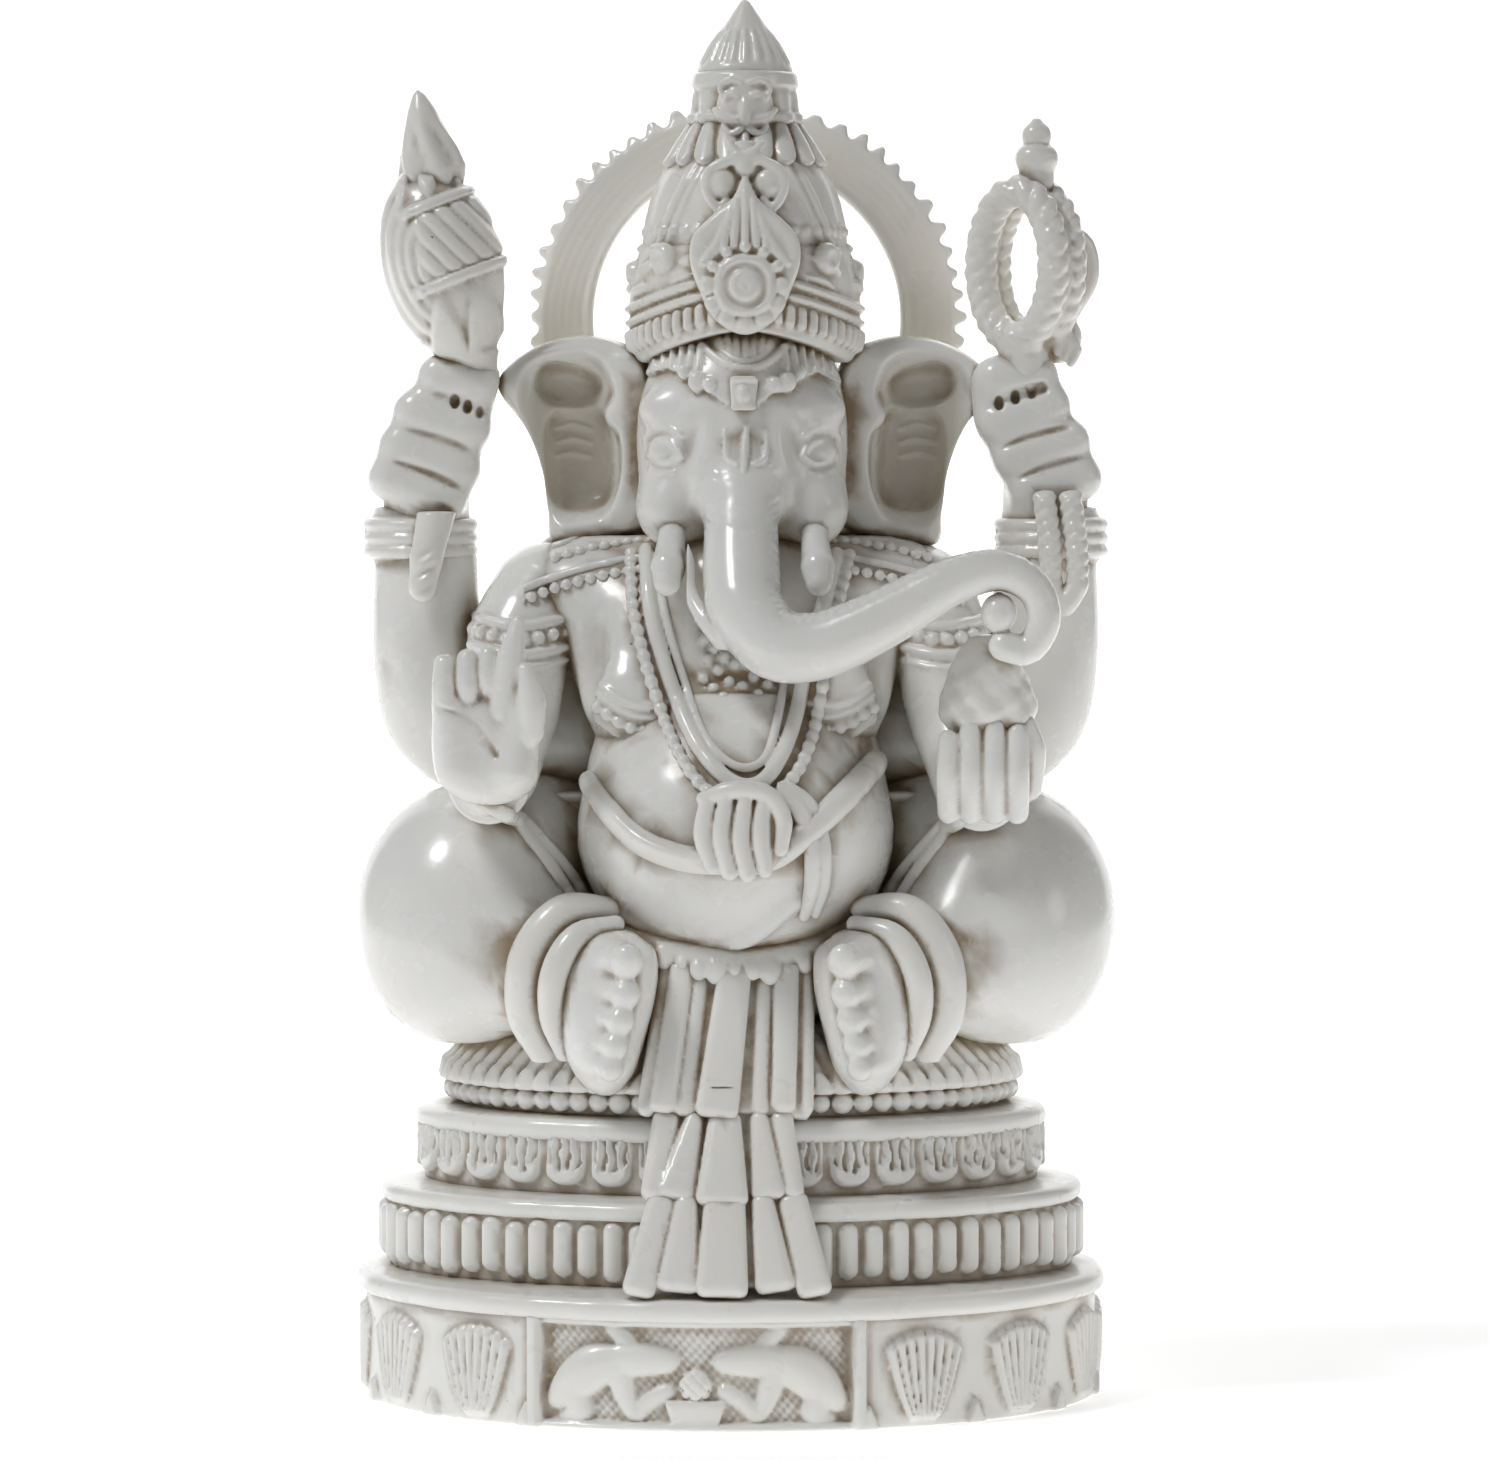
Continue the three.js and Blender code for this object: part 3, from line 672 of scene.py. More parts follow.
def chest(clay):
    clay.put(egg((BODY_X, -1.5, 82.0), (18.4, 11.4, 11.6), power=2.1))
    clay.put(MIDRIFF, 5)
    clay.put(egg((HEAD_X, -5.5, 87.0), (9.5, 7.0, 6.0)), 4)
    for side in (-1, 1):
        clay.put(egg((BODY_X + side * 9.6, -6.8, 79.4), (7.0, 7.4, 8.4)), 4)
        clay.put(egg((BODY_X + side * 10.4, -10.4, 75.9), (5.8, 6.2, 5.3)), 2.0)
        clay.put(egg((BODY_X + side * 10.6, -14.9, 77.2), (0.8, 0.6, 0.8)), 0.6)
        clay.put(egg((BODY_X + side * 15.5, -1.2, 86.3), (8.4, 7.6, 6.2)), 4)
    skin = FrontSkin([clay])
    for side in (-1, 1):
        clay.beads([p[:3] for p in skin.lay(band_points(side, 0), 0.2)], 0.75)
        for rise in (1.5, 2.7, -1.4):
            clay.line([(*p[:3], 0.38) for p in skin.lay(band_points(side, rise), 0.1)], 0.3)
        clay.cut(egg((BODY_X + side * 15.9, -12.0, 79.0), (2.2, 2.4, 5.6), (0, side * -10, 0)), 2)
    # a spray of small pendants between the strands of the garland
    for low, spread in ((74.8, 3.6), (76.8, 3.2), (79.0, 3.6), (81.2, 4.0)):
        drop = [
            (HEAD_X - spread - 0.8, low + 2.8, 1),
            (HEAD_X - 0.6, low, 1),
            (HEAD_X + spread - 1.2, low + 2.2, 1),
        ]
        clay.beads([p[:3] for p in skin.lay(drop, 0.2)], 0.62, 1.25)


def band_points(side, rise):
    """The beaded band under one side of the chest, as (x, z, radius)."""
    return [
        (BODY_X + side * d, z + rise, 0.7)
        for d, z in ((14.6, 74.6), (12.0, 72.9), (9.2, 72.2), (6.8, 72.6))
    ]


def hips(clay):
    clay.put(egg((BODY_X, 0, 53.5), (20, 13.4, 11.4)))
    clay.put(egg((BODY_X, 2, 60), (17, 12, 10)), 4)
    clay.put(egg((BODY_X, -6, 46.5), (16, 12.4, 7)), 4)
    for side in (-1, 1):
        clay.put(egg((BODY_X + side * 16.5, 1.5, 69), (8, 8, 10)), 4)


def neck(clay):
    clay.put(egg((HEAD_X, 3.5, 96), (12.4, 7.4, 8.4)))
    clay.put(egg((HEAD_X, 4.5, 92), (13, 6.5, 5)), 3)


def front_arm(clay, side):
    path = {
        -1: [
            (-19.6, -1.2, 85.4, 6.4), (-22.6, -4.6, 80.6, 5.7), (-23.2, -8.4, 73.0, 4.7),
            (-24.8, -13, 67.8, 4.2),
        ],
        1: [
            (20.2, -1.2, 85.2, 6.3), (22.4, -4.6, 80.2, 5.4), (23.6, -8.4, 72.4, 4.5),
            (25.6, -13, 67.0, 4.1),
        ],
    }[side]
    clay.line(path, 1.5)
    wrist = (-25.4, -17.6, 66.8, 3.6) if side < 0 else (26.4, -16.6, 66.0, 3.6)
    clay.line([path[-1], wrist], 1.5)
    skin = FrontSkin([clay])
    x = path[1][0]
    for rise, thick in ((4.6, 0.5), (1.6, 0.5), (0.2, 0.35)):
        band = [(x - 5.2, 79.4 + rise, thick), (x, 78.4 + rise, thick), (x + 5.2, 79.2 + rise, thick)]
        clay.line(skin.lay(band, 0.1), 0.3)
    clay.beads(
        [p[:3] for p in skin.lay([(x - 5, 82.6, 0.6), (x, 81.6, 0.6), (x + 5, 82.4, 0.6)], 0.1)], 0.7, 1.2
    )
    wx, wy, wz, wr = wrist
    for gap in (0.0, 1.4):
        turns = np.linspace(0, 2 * math.pi, 14)
        clay.line(
            [(wx + (wr + 0.3) * math.cos(t), wy + gap, wz + (wr + 0.3) * math.sin(t), 0.5) for t in turns],
            0.2,
        )


# ---------------------------------------------------------------- front hands
def right_front_hand(clay):
    """The palm faces out: three short bent fingers, the forefinger up and the thumb beside it."""
    clay.put(egg((-25.6, -20.2, 71.0), (5.5, 2.7, 5.6), power=2.4))
    clay.put(egg((-25.0, -20.4, 67.6), (4.6, 2.7, 2.9)), 1.5)
    clay.put(bar((-21.6, -21.8, 75.6), (-22.6, -21.8, 68.4), 1.8, 2.3), 1.2)
    clay.put(bar((-29.6, -21.4, 75.0), (-28.6, -21.0, 68.6), 1.6, 2.2), 1.2)
    for x, foot_z, tip_z, r in (
        (-29.9, 73.6, 79.4, 1.3), (-27.5, 74.8, 80.0, 1.25), (-25.3, 75.6, 80.4, 1.15)
    ):
        clay.line(
            [(x + 0.2, -20.6, foot_z, r), (x, -21.6, (foot_z + tip_z) / 2, r), (x, -21.0, tip_z, r * 0.85)],
            0.3,
        )
    clay.line([(-23.6, -21.4, 74.6, 1.8), (-23.0, -21.8, 79.4, 1.6), (-22.2, -21.4, 83.8, 0.7)], 0.5)
    clay.line([(-20.9, -22.6, 72.4, 1.5), (-20.7, -23.0, 75.8, 1.5), (-21.3, -22.8, 78.8, 0.8)], 0.5)
    clay.line(
        [(-30.6, -22.8, 75.0, 0.2), (-27, -23.0, 73.6, 0.28), (-24.4, -23.2, 70.0, 0.2)], 0.5, carve=True
    )


def left_front_hand(clay):
    """Four fingers curled round the foot of the heap, and the thumb at its side."""
    clay.put(egg((26.9, -18.8, 68.4), (5.0, 3.6, 5.2)))
    for x, r, top in ((22.7, 1.3, 71.6), (25.0, 1.4, 72.8), (27.5, 1.4, 73.0), (29.9, 1.35, 72.2)):
        clay.line([(x + 0.1, -20.0, 63.8, r * 0.9), (x, -21.7, 67.6, r), (x, -21.9, top, r * 0.8)], 0.5)
    clay.line([(31.2, -18.8, 66.4, 1.5), (31.6, -20.2, 70.4, 1.4), (31.0, -20.8, 73.2, 0.9)], 0.6)


def sweets_heap(clay):
    """A soft cone of small round sweets."""
    clay.put(egg((27.0, -19.2, 75.0), (4.9, 3.6, 4.2)))
    clay.put(egg((26.6, -19.4, 78.6), (3.3, 2.8, 3.6)), 1.5)
    for k in range(44):
        height = 1 - 1.7 * (k + 0.5) / 44
        flat = math.sqrt(1 - height * height)
        turn = k * 2.399963
        across = (3.2 - 1.5 * height) * flat
        at = (
            26.9 + across * 1.15 * math.cos(turn),
            -19.3 + across * 0.85 * math.sin(turn),
            76.6 + 5.0 * height,
        )
        clay.put(egg(at, (1.15,) * 3), 0.9)


# ---------------------------------------------------------------- rear arms and emblems
def rear_arm(clay, side):
    path = [
        (17, 4.5, 87, 6.2), (24.5, 4.5, 76.6, 6.2), (31, 2.6, 73.0, 6.4), (33.2, 1.6, 79.6, 5.9),
        (33.4, 1.5, 90, 5.5),
    ]
    clay.line(mirror(path, side), 2.5, spacing=1.2)
    clay.put(bar(*mirror([(12, 4, 71), (28, 3, 71)], side), 6.5), 3)
    clay.put(bar(*mirror([(14, 4, 84), (27, 3, 76)], side), 6.2), 3)


def cuff(clay, side):
    low, high = (np.array(corner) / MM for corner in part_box(clay.node))
    x, y = (low + high)[:2] / 2
    reach = (high - low)[0] / 2
    for z, r in ((90.8, 0.75), (92.2, 0.6), (93.6, 0.75)):
        turns = np.linspace(0, 2 * math.pi, 24)
        loop = [(x + (reach - r) * math.cos(t), y + (reach - r) * math.sin(t), z, r) for t in turns]
        clay.line(loop, 0.4, spacing=1.4)
    clay.put(bar((x, y, 91.0), (x, y, 93.6), reach - 1.0), 0.4)


# (x, z) round each hand, then its fingers from (x, z) to (x, z), then the grooves between them.
REAR_HANDS = {
    -1: {
        "outline": [(-29.4, 112), (-32.4, 110), (-35.2, 106.8), (-37.0, 102.7), (-38.6, 98), (-35.4, 95.8)]
        + [(-30.4, 94.9), (-28.2, 97), (-26.7, 102.5), (-25.4, 107), (-25.2, 110.6)],
        "fingers": [(-31.4, 109.8, -27.2, 108.9), (-34.0, 105.9, -27.8, 103.9), (-35.6, 102.1, -28.9, 99.6)]
        + [(-36.6, 98.6, -30.4, 96.4)],
        "grooves": [
            (-31.4, 107.6, -26.0, 105.4), (-34.6, 103.9, -27.2, 101.3), (-35.8, 100.4, -28.6, 97.4)
        ],
    },
    1: {
        "outline": [(30.2, 112), (34.3, 110), (35.7, 105.9), (37.9, 102.7), (39.4, 98), (36.4, 95.8)]
        + [(31.4, 95.6), (29.2, 98.5), (27.6, 101.9), (26.0, 105.4), (26.2, 110)],
        "fingers": [(28.4, 109.4, 33.0, 109.8), (28.6, 104.4, 34.4, 106.5), (30.2, 100.8, 36.4, 102.8)]
        + [(32.0, 97.4, 37.6, 98.6)],
        "grooves": [(26.2, 105.8, 33.2, 108.3), (28.0, 101.6, 36.0, 104.2), (30.0, 98.4, 37.6, 101.0)],
    },
}


def rear_hand(clay, side):
    """A closed hand: a smooth fist cut by three slanting grooves."""
    hand = REAR_HANDS[side]
    clay.put(plate(hand["outline"], -4.0, 4.2, 2.6))
    clay.put(bar((BODY_X + side * 33.4, 0.4, 97.5), (BODY_X + side * 33.2, 1.2, 93.0), 4.6))
    for xa, za, xb, zb in hand["fingers"]:
        clay.put(bar((xa, -2.6, za), (xb, -2.6, zb), 2.0, 1.9), 1.6)
    for k, (xa, za, xb, zb) in enumerate(hand["grooves"]):
        size = 0.75 if k == 0 else 0.45
        middle = ((xa + xb) / 2, -4.6, (za + zb) / 2 + 0.25, size)
        clay.line([(xa, -4.5, za, size * 0.5), middle, (xb, -4.4, zb, size)], 0.4, carve=True)
        if k == 0:
            for part in (0.35, 0.6, 0.85):
                pit = (xa + (xb - xa) * part, -4.1, za + (zb - za) * part)
                clay.cut(egg(pit, (0.55, 1.2, 0.8)), 0.2)


MACE_FOOT = (-27.3, -2.0, 110.6)
MACE_LEAN = math.radians(-10)
MACE_MIDDLE = (-30.9, -2.0, 121.6)


def mace_space(clay, shift=0.0):
    """Radius, turn and height about the mace's own leaning axis, or one shifted away from the figure."""
    x, y, z = clay.grid()
    x, y, z = x - MACE_FOOT[0], y - MACE_FOOT[1], z - MACE_FOOT[2]
    across = x * math.cos(MACE_LEAN) - z * math.sin(MACE_LEAN) + shift
    height = x * math.sin(MACE_LEAN) + z * math.cos(MACE_LEAN)
    return np.sqrt(across**2 + y**2), np.arctan2(across, -y), height


def mace(clay):
    """A ribbed gourd in a cup, with two slanting bands, flutes between them and leaves above and below."""
    x, y, z = clay.grid()
    x, y, z = x - MACE_MIDDLE[0], y - MACE_MIDDLE[1], z - MACE_MIDDLE[2]
    lean = x + 0.16 * z
    size = np.sqrt((lean / 6.5) ** 2 + (y / 6.0) ** 2 + (z / 10.0) ** 2)
    bulb = (size - 1) * 6.4
    slanted = z - 0.38 * lean
    front = smooth_step(-2.6, -1.4, lean)
    bands = 0.55 * (
        smooth_step(0.7, 0.35, np.abs(slanted - 6.3)) + smooth_step(0.7, 0.35, np.abs(slanted + 2.2))
    )
    between = smooth_step(-1.6, -1.0, slanted) * smooth_step(5.8, 5.2, slanted)
    flutes = 0.38 * np.abs(np.sin((z + 1.15 * lean) * 1.16)) * between * front
    below = 0.55 * smooth_step(
        0.1, 0.6, np.abs(np.cos(lean * 0.72 + 0.5)) - (slanted + 7.6) / 6
    ) * (slanted < -2.4)
    above = 0.5 * smooth_step(
        0.1, 0.6, np.abs(np.cos(lean * 0.95)) - (10.0 - slanted) / 4
    ) * (slanted > 6.6)
    rim_lines = 0.12 * np.cos(np.sqrt((lean / 6.5) ** 2 + (z / 10) ** 2) * 38) * (1 - front)
    bulb = bulb - (bands + below + above) * smooth_step(-4.2, -2.6, lean) - flutes - rim_lines
    radius, _, height = mace_space(clay)
    cup_radius = np.interp(height, [-2, 0, 4.6, 6.2], [2.0, 2.3, 3.7, 3.3])
    cup = np.maximum(radius - cup_radius, np.abs(height - 2.2) - 3.4)
    cup = cup + 0.5 * smooth_step(1.1, 0.7, np.abs(height - 2.4)) * smooth_step(
        0.3, 0.8, np.abs(np.sin(x * 0.9))
    )
    clay.d = np.clip(soft_min(bulb, cup, 0.8), -FAR, FAR).astype(np.float32)


def mace_finial(clay):
    radius, turn, height = mace_space(clay, 1.0)
    out = np.interp(
        height, [18.6, 20.4, 21.4, 23.4, 25.6, 28.0, 29.6, 30.3], [2.4, 3.2, 3.5, 3.1, 2.3, 1.5, 0.7, 0.05]
    )
    out = out + 0.3 * np.cos(turn * 6 + height * 0.5) * smooth_step(28, 24, height)
    body = np.maximum((radius - out) * 0.85, np.abs(height - 24.4) - 5.9)
    clay.d = np.clip(body, -FAR, FAR).astype(np.float32)


def mace_handle_end(clay):
    clay.put(bar((-31.4, -4.6, 95.4), (-32.5, -6.2, 90.0), 2.1, 1.7))
    clay.put(bar((-32.5, -6.2, 90.0), (-32.9, -6.4, 87.0), 1.7, 1.5), 0.5)
    for k in range(5):
        z = 94.6 - 1.9 * k
        clay.cut(bar((-34.6, -7.9, z - 1.4), (-30.6, -7.9, z + 1.0), 0.35), 0.4)


RING_AT = (31.4, -2.0, 121.4)
RING_TURN = math.radians(-35)


def ring_point(turn, a=4.6, b=7.9, depth=0.0):
    x, y = a * math.cos(turn), depth
    return (
        RING_AT[0] + x * math.cos(RING_TURN) - y * math.sin(RING_TURN),
        RING_AT[1] + x * math.sin(RING_TURN) + y * math.cos(RING_TURN),
        RING_AT[2] + b * math.sin(turn),
    )


def noose_ring(clay):
    """A ring of twisted cords, turned a little, with rolled scrolls on its outer side."""
    turns = np.linspace(0, 2 * math.pi, 30)
    clay.line([(*ring_point(t, 4.7, 8.0, 0.3), 1.1) for t in turns], spacing=1.2)
    clay.twist([(*ring_point(t, depth=-1.4), 1.8) for t in turns], 5.4, 3, 0.42)
    clay.twist([(*ring_point(t, 4.8, 8.0, 1.9), 1.7) for t in turns], 5.4, 3, 0.42)
    clay.line(
        [
            (36.0, -0.6, 125.4, 0.8), (38.2, 0.2, 123.6, 0.9), (38.6, 0.2, 120.0, 0.9),
            (36.6, -0.2, 116.4, 0.9),
        ],
        0.3,
    )
    clay.put(egg((36.6, 0.2, 120.6), (1.5, 1.6, 4.2)), 0.6)
    clay.put(egg((35.4, -0.6, 113.4), (2.2, 1.8, 2.6), (0, 28, 0)), 0.6)
    for k in range(3):
        scroll = [
            (33.6 + 0.9 * k, -2.6, 115.2 - 0.2 * k, 0.5), (35.2 + 0.9 * k, -2.4, 114.0 - 0.7 * k, 0.6)
        ]
        clay.line([*scroll, (35.0 + 0.7 * k, -2.4, 112.2 - 0.6 * k, 0.5)], 0.3)
    clay.line([(31.2, -2, 112.8, 2.6), (31.6, -2, 110.4, 2.8)], 0.6)


def noose_finial(clay):
    x = 32.7
    clay.put(bar((x, -2, 130.4), (x, -2, 131.8), 1.9))
    clay.put(egg((x, -2, 132.8), (2.35, 2.35, 1.7), power=2.3), 0.3)
    clay.put(egg((x, -2, 135.2), (1.6, 1.6, 1.5), power=2.2), 0.15)
    clay.put(bar((x, -2, 135.8), (x, -2, 136.6), 0.95, 0.6), 0.5)


def noose_cord(clay):
    for d, foot_z in ((-1.45, 86.4), (1.35, 86.8)):
        x = 35.5 + d
        clay.twist(
            [(x - 0.6, -5.4, 96.6, 1.3), (x, -6.6, 91.0, 1.3), (x + 0.1, -7.0, foot_z, 1.25)], 2.6, 2, 0.42
        )
    clay.line([(34.2, -7.1, 86.6, 1.2), (35.4, -7.3, 85.2, 1.3), (36.8, -7.1, 87.0, 1.2)], 0.3)


# ---------------------------------------------------------------- head
FACE_X = 1.2  # middle of the face
CAP_EDGE = [  # (x, z) along the lower edge of the cap on the forehead
    (-12, 108.6), (-9.0, 109.7), (-6.9, 110.4), (-4.6, 109.6), (-3.2, 108.4), (-1.8, 107.6), (-0.4, 106.6),
    (1.3, 106.2), (3.0, 106.6), (4.4, 107.8), (6.0, 107.9), (7.4, 109.2), (9.2, 110.0), (
        11.3, 108.8
    ), (14, 108),
]  # fmt: skip


def brow_and_eye(clay, side, skin):
    def x(d):
        return FACE_X + side * d

    def lids(points, r, lift=0.15):
        clay.line(skin.lay([(x(d), z, r) for d, z in points], lift), 0.35)

    eye_y = skin.at(x(8.3), 101.7)
    clay.cut(egg((x(5.9), skin.at(x(5.9), 102.0) - 0.9, 102.0), (1.0, 1.2, 2.8), (0, side * -20, 0)), 1.8)
    clay.put(egg((x(8.3), eye_y + 1.0, 101.7), (1.75, 1.25, 1.15), (0, side * 12, 0)), 0.7)
    lids([(10.1, 101.1), (9.2, 102.4), (8.2, 102.8), (7.1, 102.3), (6.4, 101.1)], 0.26)
    lids([(9.9, 101.0), (8.9, 100.5), (7.7, 100.4), (6.7, 100.9)], 0.2)
    lids([(10.4, 102.9), (9.1, 104.0), (7.7, 104.1), (6.5, 103.3)], 0.2)
    lids([(9.8, 99.8), (8.6, 99.2), (7.2, 99.4)], 0.16)
    clay.put(egg((x(8.6), -9.4, 106.0), (2.2, 1.6, 1.6)), 2.4)


def cap(clay):
    """The cap's raised edge across the forehead, with a crescent of teeth and small leaves."""
    x, _, z = clay.grid()
    edge = np.interp(x, *zip(*CAP_EDGE))
    thick = 0.65 * smooth_step(11.6, 9.6, np.abs(x - FACE_X))
    raised = np.maximum(clay.d - thick, (edge - z) * 0.8)
    clay.d = soft_min(clay.d, raised, 0.25).astype(np.float32)
    skin = FrontSkin([clay])
    for half, drop, r in ((4.9, 0.0, 0.36), (3.9, 0.8, 0.3)):
        arc = [
            (1.5 + half * k, 110.3 + drop + 3.0 * k * k, r)
            for k in (-1, -0.75, -0.5, -0.2, 0.2, 0.5, 0.75, 1)
        ]
        clay.line(skin.lay(arc, 0.3), 0.15)
    for k in range(-4, 5):
        top = (1.5 + 1.02 * k, 114.2, 0.42)
        foot = (1.5 + 0.8 * k, 111.7 + 0.1 * k * k, 0.36)
        clay.line(skin.lay([top, foot], 0.4), 0.1)
    for side in (-1, 1):
        for k in range(7):
            d = 4.4 + 0.95 * k
            foot = (FACE_X + side * (d + 0.3), 110.6 - 0.16 * (k - 2) ** 2 * 0.4, 0.3)
            clay.line(skin.lay([(FACE_X + side * d, 112.6, 0.42), foot], 0.3), 0.2)
        for d, z, size in ((3.4, 108.6, 0.8), (4.8, 108.9, 0.95), (6.2, 110.0, 0.7)):
            at = FACE_X + side * d
            clay.put(egg((at, skin.at(at, z) - 0.1, z), (size, 0.6, size * 1.15)), 0.2)


def head(clay):
    clay.put(egg((FACE_X, -3.4, 102.8), (11.3, 9.4, 12.2), power=2.35))
    clay.put(egg((FACE_X, -6.6, 100.0), (9.4, 6.2, 7.4)), 3)
    clay.put(egg((FACE_X, -8.8, 106.0), (6.8, 4.0, 5.4)), 4)
    for side in (-1, 1):
        clay.put(egg((FACE_X + side * 7.6, -8.2, 95.6), (3.7, 4.6, 4.2)), 2)
        clay.line([(FACE_X + side * 4.6, -10.8, 104.4, 1.5), (FACE_X + side * 2.6, -12.8, 97.5, 1.8)], 3)
    # the root of the trunk fades away inside the trunk's own piece
    spare = (0.25, 0.22, 0.18, -0.1, -0.9)
    clay.line([(x, y, z, r + more) for (x, y, z, r), more in zip(TRUNK, spare)], 2.2)
    skin = FrontSkin([clay])
    for side in (-1, 1):
        brow_and_eye(clay, side, skin)
        prong = [(FACE_X + side * 2.2 + 0.4, 103.7, 0.2), (FACE_X + side * 2.0 + 0.4, 100.9, 0.26)]
        clay.line(skin.lay([*prong, (FACE_X + side * 0.9 + 0.4, 100.3, 0.24)], 0.5), 0.1)
        for k in range(11):
            z = 99.6 - 0.95 * k
            start = FACE_X + side * (2.5 + 0.07 * k)
            mark = skin.lay([(start, z, 0.1), (start + side * 1.1, z + 0.55, 0.1)], 0.9)
            clay.line(mark, 0.25, carve=True)
    clay.line(skin.lay([(1.7, 104.4, 0.2), (1.5, 102.2, 0.42), (1.4, 99.6, 0.24)], 0.5), 0.1)
    cap(clay)


TRUNK = [
    (1.3, -10.6, 103.5, 2.4),
    (1.2, -12.0, 99.4, 3.0),
    (1.1, -13.6, 95.4, 3.6),
    (1.1, -15.6, 91.2, 4.0),
    (1.2, -17.6, 87.8, 4.05),
    (1.6, -19.4, 85.2, 3.95),
    (4.6, -21.6, 81.6, 3.85),
    (8.8, -22.6, 81.3, 3.6),
    (13.0, -23.0, 82.8, 3.35),
    (18.0, -23.0, 85.4, 3.0),
    (23.2, -23.0, 88.2, 2.5),
    (28.0, -23.0, 89.3, 2.15),
    (31.6, -23.0, 87.4, 1.9),
    (32.6, -23.0, 83.9, 1.75),
    (30.9, -23.0, 81.0, 1.6),
    (28.4, -23.2, 81.4, 1.6),
]


def trunk(clay):
    clay.line(TRUNK[2:], 1.0, spacing=1.0)
    clay.put(egg((27.9, -23.0, 84.8), (1.9, 1.9, 2.1)), 0.3)
    # the lip that runs down beside the root of the trunk, and the groove inside it
    fold = [
        (-5.6, -14.6, 92.4, 0.8), (-4.7, -15.6, 90.0, 0.9), (-4.3, -16.4, 87.0, 0.8),
        (-2.9, -18.2, 84.2, 0.9),
    ]
    clay.line([*fold, (-0.9, -20.0, 82.0, 1.2)], 0.6)
    fine = smooth_path(TRUNK, 1.3)
    for before, at, after in list(zip(fine, fine[1:], fine[2:]))[8:-6]:
        ahead = (after - before)[:3] / np.linalg.norm((after - before)[:3])
        up = np.cross((0, -1, 0), ahead)
        up /= np.linalg.norm(up)
        up = up if up[2] > 0 or up[0] > 0.5 else -up
        front = np.cross(up, ahead)
        front = front if front[1] < 0 else -front
        r = at[3] + 0.03
        arc = [(*(at[:3] + r * (math.cos(t) * up + math.sin(t) * front)), 0.1) for t in (0.0, 0.35, 0.7)]
        clay.line(arc, 0.3, carve=True)


def tusk(clay, side):
    """A short, blunt drop of a tusk in its socket."""
    x = FACE_X + 0.1 + side * 7.9
    clay.line(
        [(x - side * 0.5, -8.6, 95.4, 1.2), (x - side * 0.3, -12.6, 92.0, 1.5), (x, -15.4, 89.4, 1.75)]
    )
    clay.line([(x, -15.4, 89.4, 1.75), (x + side * 0.1, -16.4, 87.8, 1.45)], 0.5)


EAR = [
    (8.4, 93.6), (13.5, 92.2), (20.4, 91.4), (21.2, 95.0), (21.9, 99.6), (
        23.6, 104.0
    ), (26.6, 108.4), (24.4, 111.6),
    (19.6, 113.8), (14.4, 113.6), (10.4, 111.2), (8.2, 104.0),
]  # fmt: skip


def ear(clay, side):
    """A thick dished ear: a rolled rim beside the head, then two soft steps down."""

    def x(d):
        return HEAD_X + side * d

    clay.put(plate([(x(d), z) for d, z in EAR], -1.6, 4.4, 2.4))
    clay.cut(egg((x(18.4), -3.4, 103.0), (5.6, 4.6, 9.4), (0, side * 10, 0), power=3.2), 0.7)
    clay.cut(egg((x(17.9), -1.4, 100.9), (3.9, 4.4, 6.0), (0, side * 4, 0), power=3.2), 0.4)
    clay.cut(egg((x(19.0), -0.8, 108.4), (3.8, 3.6, 2.6), (0, side * -14, 0), power=2.6), 0.5)
    clay.put(egg((x(13.2), -0.6, 105.4), (1.9, 1.6, 1.7)), 1.2)
    clay.line(
        [
            (x(12.6), -0.9, 110.8, 1.2), (x(11.8), -1.4, 106, 1.4), (x(11.8), -1.4, 99.4, 1.4),
            (x(13.2), -0.8, 94.6, 1.3),
        ],
        1.5,
    )
    skin = FrontSkin([clay])
    for k in range(3):
        z = 104.0 - 1.5 * k
        clay.line(skin.lay([(x(16.8), z, 0.14), (x(18.6), z + 0.45, 0.2), (x(20.4), z, 0.14)], 0.2), 0.4)


# ---------------------------------------------------------------- halo and crown
def halo(clay):
    """A flat arch with worn teeth, a raised rim inside and fine tool lines."""
    x, y, z = clay.grid()
    x, z = x - 1.7, z - 115.8
    radius = np.sqrt(x * x + z * z)
    turn = np.arctan2(x, z)
    low, high = (np.array(corner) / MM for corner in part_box(clay.node))
    teeth = 56
    saw = np.abs(np.mod(turn * teeth / (2 * math.pi) + 0.12 * np.sin(turn * 9), 1) - 0.5) * 2
    outer = 22.7 + (1.05 + 0.25 * np.sin(turn * 13)) * smooth_step(0.15, 0.8, saw)
    flat = np.maximum(radius - outer, 16.7 - radius)
    # the arch ends behind the ears
    flat = np.maximum(flat, -(z + 13.6))
    rim = 0.3 * smooth_step(1.2, 0.5, radius - 16.7)
    step = -0.5 * smooth_step(22.2, 23.4, radius)
    lines = 0.03 * np.sin(radius * 7 + 2 * np.sin(turn * 5))
    half = (high[1] - low[1]) / 2 - 0.4 + (rim + step + lines) * (y < (low[1] + high[1]) / 2)
    depth = np.abs(y - (low[1] + high[1]) / 2) - half
    q = (flat + 0.5, depth + 0.5)
    outside = np.sqrt(np.maximum(q[0], 0) ** 2 + np.maximum(q[1], 0) ** 2)
    clay.d = np.clip(outside + np.minimum(np.maximum(q[0], q[1]), 0) - 0.5, -FAR, FAR).astype(np.float32)


CROWN_Y = -1.0


def crown_space(clay):
    x, y, z = clay.grid()
    x, y = x - HEAD_X, y - CROWN_Y
    return np.sqrt(x * x + y * y), np.arctan2(x, -y), z


